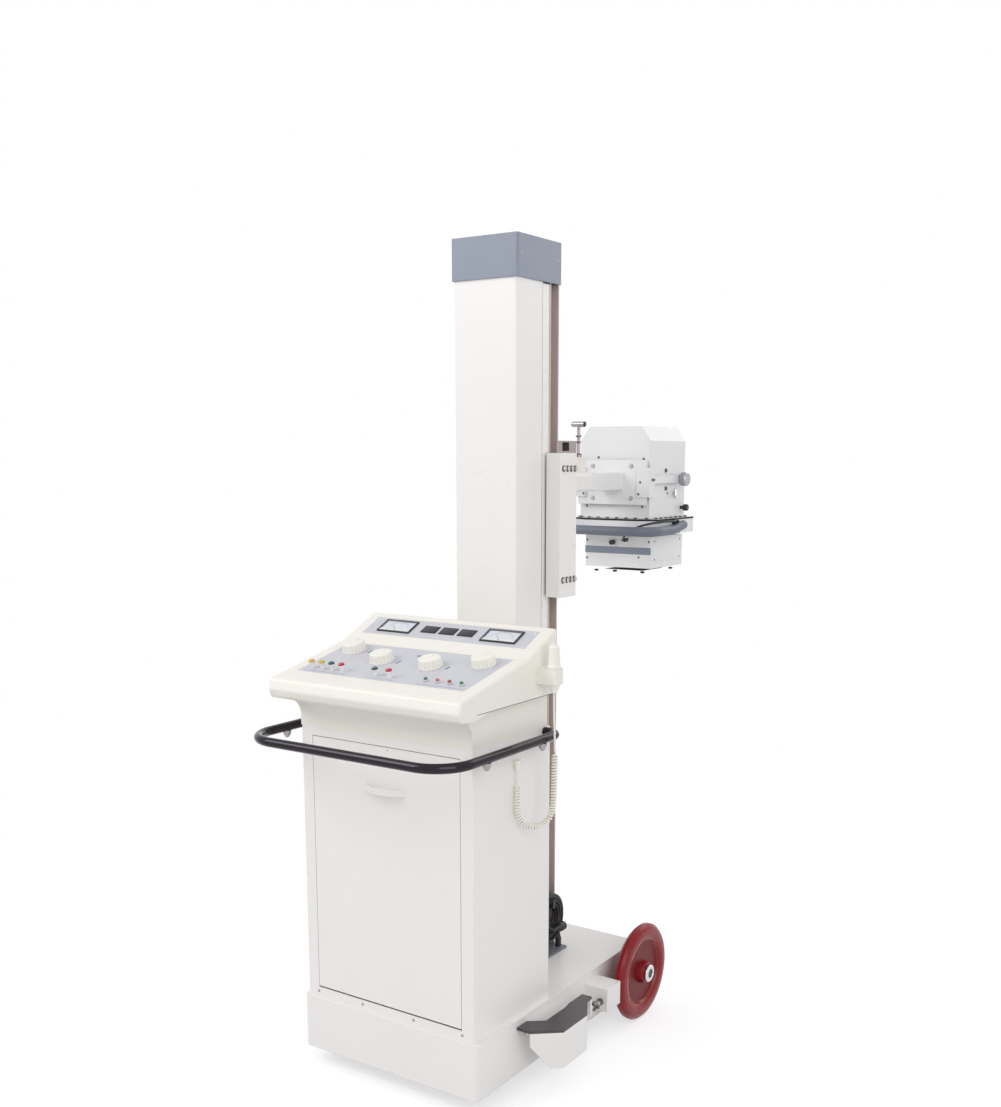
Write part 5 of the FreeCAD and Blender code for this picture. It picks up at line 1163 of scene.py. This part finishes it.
def head_trims():
    """Flange, cover screws, lever and side knob of the tube head."""
    shape = Shape("head_trims")
    flange_trims(shape)
    for x, z in ((-53, 1464), (92, 1460), (90, 1326), (-90, 1326)):
        screw(shape, at(x, COVER_FRONT, z), FRONT, *COVER_SCREW)
    for x in (-92, 92):
        for z in (1326, 1490):
            screw(shape, at(x, COVER_BACK, z), BACK, *COVER_SCREW)
    for y, z in ((1151, 1427), (1153, 1376)):
        hex_bolt(shape, at(COVER_SIDE, y, z), RIGHT, *PLATE_BOLT)
    screw(shape, at(COVER_SIDE, 1164, 1362), RIGHT, *COVER_SCREW)
    shape.use("chrome")
    shape.turned([(3, 0), (3, 10), (0, 10)], facing(at(111.8, 1200, 1362), RIGHT), 16)
    shape.turned([(0, -15), (3, -14.2), (5.6, -11), (6.2, -6), (5.2, 0), (4.4, 7), (3.6, 12),
                  (0, 14)], facing(at(120.5, 1200, 1362), UP))
    shape.use("gloss_black")
    shape.turned([(5, 0), (5, 10), (9.2, 11), (9.8, 13), (9.8, 21), (8.8, 23.5), (0, 24.5)],
                 facing(at(111.8, 1252, 1319), RIGHT), 36)
    shape.build("head", "zinc_steel")


def limiter_trims():
    """Band, side panels, window, feet and screws of the beam limiter."""
    shape = Shape("limiter_trims").use("blue_grey")
    half = LIMITER_SIDE - 0.4
    panel = LIMITER_SIDE + 1.1
    shape.block((-half, LIMITER_FRONT - 0.7, 1189), (half, LIMITER_FRONT + 0.3, 1209), 0.3)
    shape.use("head")
    for side in BOTH_SIDES:
        shape.block(((LIMITER_SIDE - 0.3) * side, 1090, 1168), (panel * side, 1264, 1234), 0.5)
    shape.use("fastener")
    for x, z in ((-101, 1174), (-101, 1226), (69, 1181), (101, 1226)):
        screw(shape, at(x, LIMITER_FRONT, z), FRONT, 3.2, 1.5)
    for side in BOTH_SIDES:
        for y in (1097, 1257):
            for z in (1175, 1227):
                screw(shape, at(panel * side, y, z), (side, 0, 0), 2.6, 1.2)
    shape.use("gloss_black")
    for x in (-14, 76, -76):
        for y in (1088, 1268):
            shape.turned([(6.2, -0.5), (6.2, 3.5), (5, 5), (0, 5.2)],
                         facing(at(x, y, LIMITER_FOOT), DOWN))
    shape.use("window").block((-62, 1116, 1139.2), (62, 1240, 1140.3), 0.3)
    shape.build("collimator", "black_plastic")


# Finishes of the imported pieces

def sided(name):
    return f"{name}_left", f"{name}_right"


PIECES_BY_FINISH = {
    "enamel": ("chassis_frame", "cabinet_shell", "cabinet_door", "brake_boxes"),
    "column": ("column_cover", "carriage_housing"),
    "head": ("arm_bar", "yoke_frame", "head_cover", "head_pan", "collimator_housing"),
    "ivory": ("console_housing", "handset_holder"),
    "knob": ("handset_body", "rotary_knob_1", "rotary_knob_2", "rotary_knob_3", "rotary_knob_4"),
    "zinc": ("power_unit", "tube_insert", "rope_pulley", "upper_rollers", "lower_rollers",
             *sided("caster_fork")),
    "post": ("mast_post",),
    "rail_steel": ("mast_rails",),
    "blue_grey": ("column_cap",),
    "panel": ("control_panels",),
    "frame": ("meter_bezels",),
    "fitting": ("cord_fittings",),
    "dark_chrome": ("handle_rail",),
    "socket": ("arm_socket",),
    "steel": ("arm_lock_handle",),
    "pivot": ("pivot_knob",),
    "sleeve": ("ring_handle",),
    "gloss_black": ("shutter_knob",),
    "white_plastic": ("handset_button",),
    "iron": ("counterweight",),
    "turned": ("rear_axle",),
    "chrome": ("indicator_lamps",),
    "red": sided("meter_needle"),
    "tyre": sided("caster_wheel"),
    "wheel": sided("rear_wheel"),
    "pedal": sided("brake_pedal"),
    "button_yellow": ("push_button_1", "push_button_2"),
    "button_dark": ("push_button_3", "push_button_5"),
    "button_red": ("push_button_4", "push_button_6"),
}


# The stage

WHITE = (1.0, 1.0, 1.0)


def floor_white(graph):
    """Pale near the unit, where it takes shadows, and white further out."""
    away = graph.vector("LENGTH", graph.place(), result="Value")
    far = ((away - 0.9) / 1.6).clamped()
    matt = graph.shader("ShaderNodeBsdfDiffuse", (0.55, 0.55, 0.56))
    glow = graph.shader("ShaderNodeEmission", WHITE, Strength=0.60)
    near = graph.node("ShaderNodeAddShader", None, {0: matt, 1: glow}).out()
    white = graph.shader("ShaderNodeEmission", WHITE, Strength=1.0)
    plain = graph.shader("ShaderNodeBsdfDiffuse", (0.72, 0.72, 0.72))
    mixed = graph.choice(graph.seen(), plain, graph.choice(far, near, white))
    graph.node("ShaderNodeOutputMaterial", None, {"Surface": mixed})


def studio_air(graph):
    """Soft light from all round, seen as white."""
    light = graph.shader("ShaderNodeBackground", (0.97, 0.98, 1.0), Strength=0.62)
    white = graph.shader("ShaderNodeBackground", WHITE, Strength=1.0)
    mixed = graph.choice(graph.seen(), light, white)
    graph.node("ShaderNodeOutputWorld", None, {"Surface": mixed})


def lay_floor():
    half = 40.0
    corners = [(-half, -half, 0), (half, -half, 0), (half, half, 0), (-half, half, 0)]
    floor = Shape("floor").add(corners, [[0, 1, 2, 3]], Matrix.Identity(4)).build()
    floor.data.materials.append(material("floor_white", floor_white))


def hang_lamp(name, place, target, side, power):
    data = bpy.data.lights.new(name, "AREA")
    data.shape = "SQUARE"
    data.size = side
    data.energy = power
    lamp = bpy.data.objects.new(name, data)
    lamp.location = place
    lamp.rotation_euler = (Vector(place) - Vector(target)).to_track_quat("Z", "Y").to_euler()
    bpy.context.scene.collection.objects.link(lamp)


# Operators, each of which makes one piece or one group of like pieces

class XRAY_OT_camera(bpy.types.Operator):
    """Sets the camera where the catalogue view was taken from"""

    bl_idname = "xray.camera"
    bl_label = "Camera"

    def execute(self, context):
        data = bpy.data.cameras.new("view")
        data.lens = 40.36
        data.sensor_width = 36.0
        data.sensor_fit = "AUTO"
        data.shift_x = -0.0114
        data.shift_y = 0.110
        data.clip_end = 50.0
        camera = bpy.data.objects.new("view", data)
        camera.location = at(1742, -2094, 1468)
        camera.rotation_euler = (math.radians(90 - 10.03), math.radians(-0.07),
                                 math.radians(33.59))
        context.scene.collection.objects.link(camera)
        context.scene.camera = camera
        return {"FINISHED"}


class XRAY_OT_switch_lead(bpy.types.Operator):
    """Curls the hand switch lead from the switch to the cabinet"""

    bl_idname = "xray.switch_lead"
    bl_label = "Hand switch lead"

    def execute(self, context):
        switch_lead(context.scene.xray_sizes)
        return {"FINISHED"}


class XRAY_OT_lamp_lead(bpy.types.Operator):
    """Lays the lamp lead of the beam limiter"""

    bl_idname = "xray.lamp_lead"
    bl_label = "Lamp lead"

    def execute(self, context):
        lamp_lead(context.scene.xray_sizes)
        return {"FINISHED"}


class XRAY_OT_mains_lead(bpy.types.Operator):
    """Winds the mains lead on its hook"""

    bl_idname = "xray.mains_lead"
    bl_label = "Mains lead"

    def execute(self, context):
        mains_lead(context.scene.xray_sizes)
        return {"FINISHED"}


class XRAY_OT_wire_rope(bpy.types.Operator):
    """Leads the counterweight's rope over its pulley"""

    bl_idname = "xray.wire_rope"
    bl_label = "Wire rope"

    def execute(self, context):
        wire_rope()
        return {"FINISHED"}


class XRAY_OT_finishes(bpy.types.Operator):
    """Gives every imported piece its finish"""

    bl_idname = "xray.finishes"
    bl_label = "Finishes"

    def execute(self, context):
        for finish_name, names in PIECES_BY_FINISH.items():
            for name in names:
                NODES[name].data.materials.clear()
                NODES[name].data.materials.append(finish(finish_name))
        return {"FINISHED"}


class XRAY_OT_console_trims(bpy.types.Operator):
    """Fits dials, windows, lenses, marks and screws on the console"""

    bl_idname = "xray.console_trims"
    bl_label = "Console fittings"

    def execute(self, context):
        console_trims()
        return {"FINISHED"}


class XRAY_OT_cabinet_trims(bpy.types.Operator):
    """Fits screws, nuts, hubs and collars on the cabinet, its front and the chassis"""

    bl_idname = "xray.cabinet_trims"
    bl_label = "Cabinet fittings"

    def execute(self, context):
        cabinet_trims(context.scene.xray_sizes)
        door_trims(context.scene.xray_sizes)
        hub_trims()
        pedal_trims()
        return {"FINISHED"}


class XRAY_OT_carriage_trims(bpy.types.Operator):
    """Fits nuts, collars and bolts on the carriage, the lock and the arm"""

    bl_idname = "xray.carriage_trims"
    bl_label = "Carriage fittings"

    def execute(self, context):
        carriage_trims()
        lock_trims()
        yoke_trims()
        return {"FINISHED"}


class XRAY_OT_head_trims(bpy.types.Operator):
    """Fits gasket, bolts, lever and knob on the tube head"""

    bl_idname = "xray.head_trims"
    bl_label = "Head fittings"

    def execute(self, context):
        head_trims()
        return {"FINISHED"}


class XRAY_OT_limiter_trims(bpy.types.Operator):
    """Fits band, panels, window, feet and screws on the beam limiter"""

    bl_idname = "xray.limiter_trims"
    bl_label = "Limiter fittings"

    def execute(self, context):
        limiter_trims()
        return {"FINISHED"}


class XRAY_OT_stage(bpy.types.Operator):
    """Lays the pale floor and lights the unit softly"""

    bl_idname = "xray.stage"
    bl_label = "Stage"

    def execute(self, context):
        context.scene.view_settings.view_transform = "Standard"
        lay_floor()
        world = bpy.data.worlds.new("studio")
        world.use_nodes = True
        studio_air(Graph(world.node_tree))
        context.scene.world = world
        hang_lamp("key", (-2.6, -3.2, 3.6), (0, 0, 0.9), 2.6, 82)
        hang_lamp("fill", (3.6, -2.4, 2.6), (0, 0.2, 0.9), 3.0, 52)
        hang_lamp("back", (1.2, 3.8, 3.2), (0, 0.2, 1.1), 2.6, 30)
        return {"FINISHED"}


OPERATORS = (XRAY_OT_camera, XRAY_OT_switch_lead, XRAY_OT_lamp_lead, XRAY_OT_mains_lead,
             XRAY_OT_wire_rope, XRAY_OT_finishes, XRAY_OT_console_trims, XRAY_OT_cabinet_trims,
             XRAY_OT_carriage_trims, XRAY_OT_head_trims, XRAY_OT_limiter_trims, XRAY_OT_stage)


class XRAY_PT_panel(bpy.types.Panel):
    """Lists the pieces, the sizes and the colours"""

    bl_label = "X-ray Unit"
    bl_idname = "XRAY_PT_panel"
    bl_space_type = "VIEW_3D"
    bl_region_type = "UI"
    bl_category = "X-ray Unit"

    def draw(self, context):
        column = self.layout.column(align=True)
        for group in (context.scene.xray_colours, context.scene.xray_sizes):
            for key in group.__annotations__:
                column.prop(group, key)
        for operator in OPERATORS:
            column.operator(operator.bl_idname)


CLASSES = (XrayColours, XraySizes, *OPERATORS, XRAY_PT_panel)


def register():
    for each in CLASSES:
        bpy.utils.register_class(each)
    bpy.types.Scene.xray_colours = PointerProperty(type=XrayColours)
    bpy.types.Scene.xray_sizes = PointerProperty(type=XraySizes)


def unregister():
    del bpy.types.Scene.xray_sizes
    del bpy.types.Scene.xray_colours
    for each in reversed(CLASSES):
        bpy.utils.unregister_class(each)


def main():
    register()
    for operator in OPERATORS:
        group, name = operator.bl_idname.split(".")
        getattr(getattr(bpy.ops, group), name)()


if __name__ == "__main__":
    main()
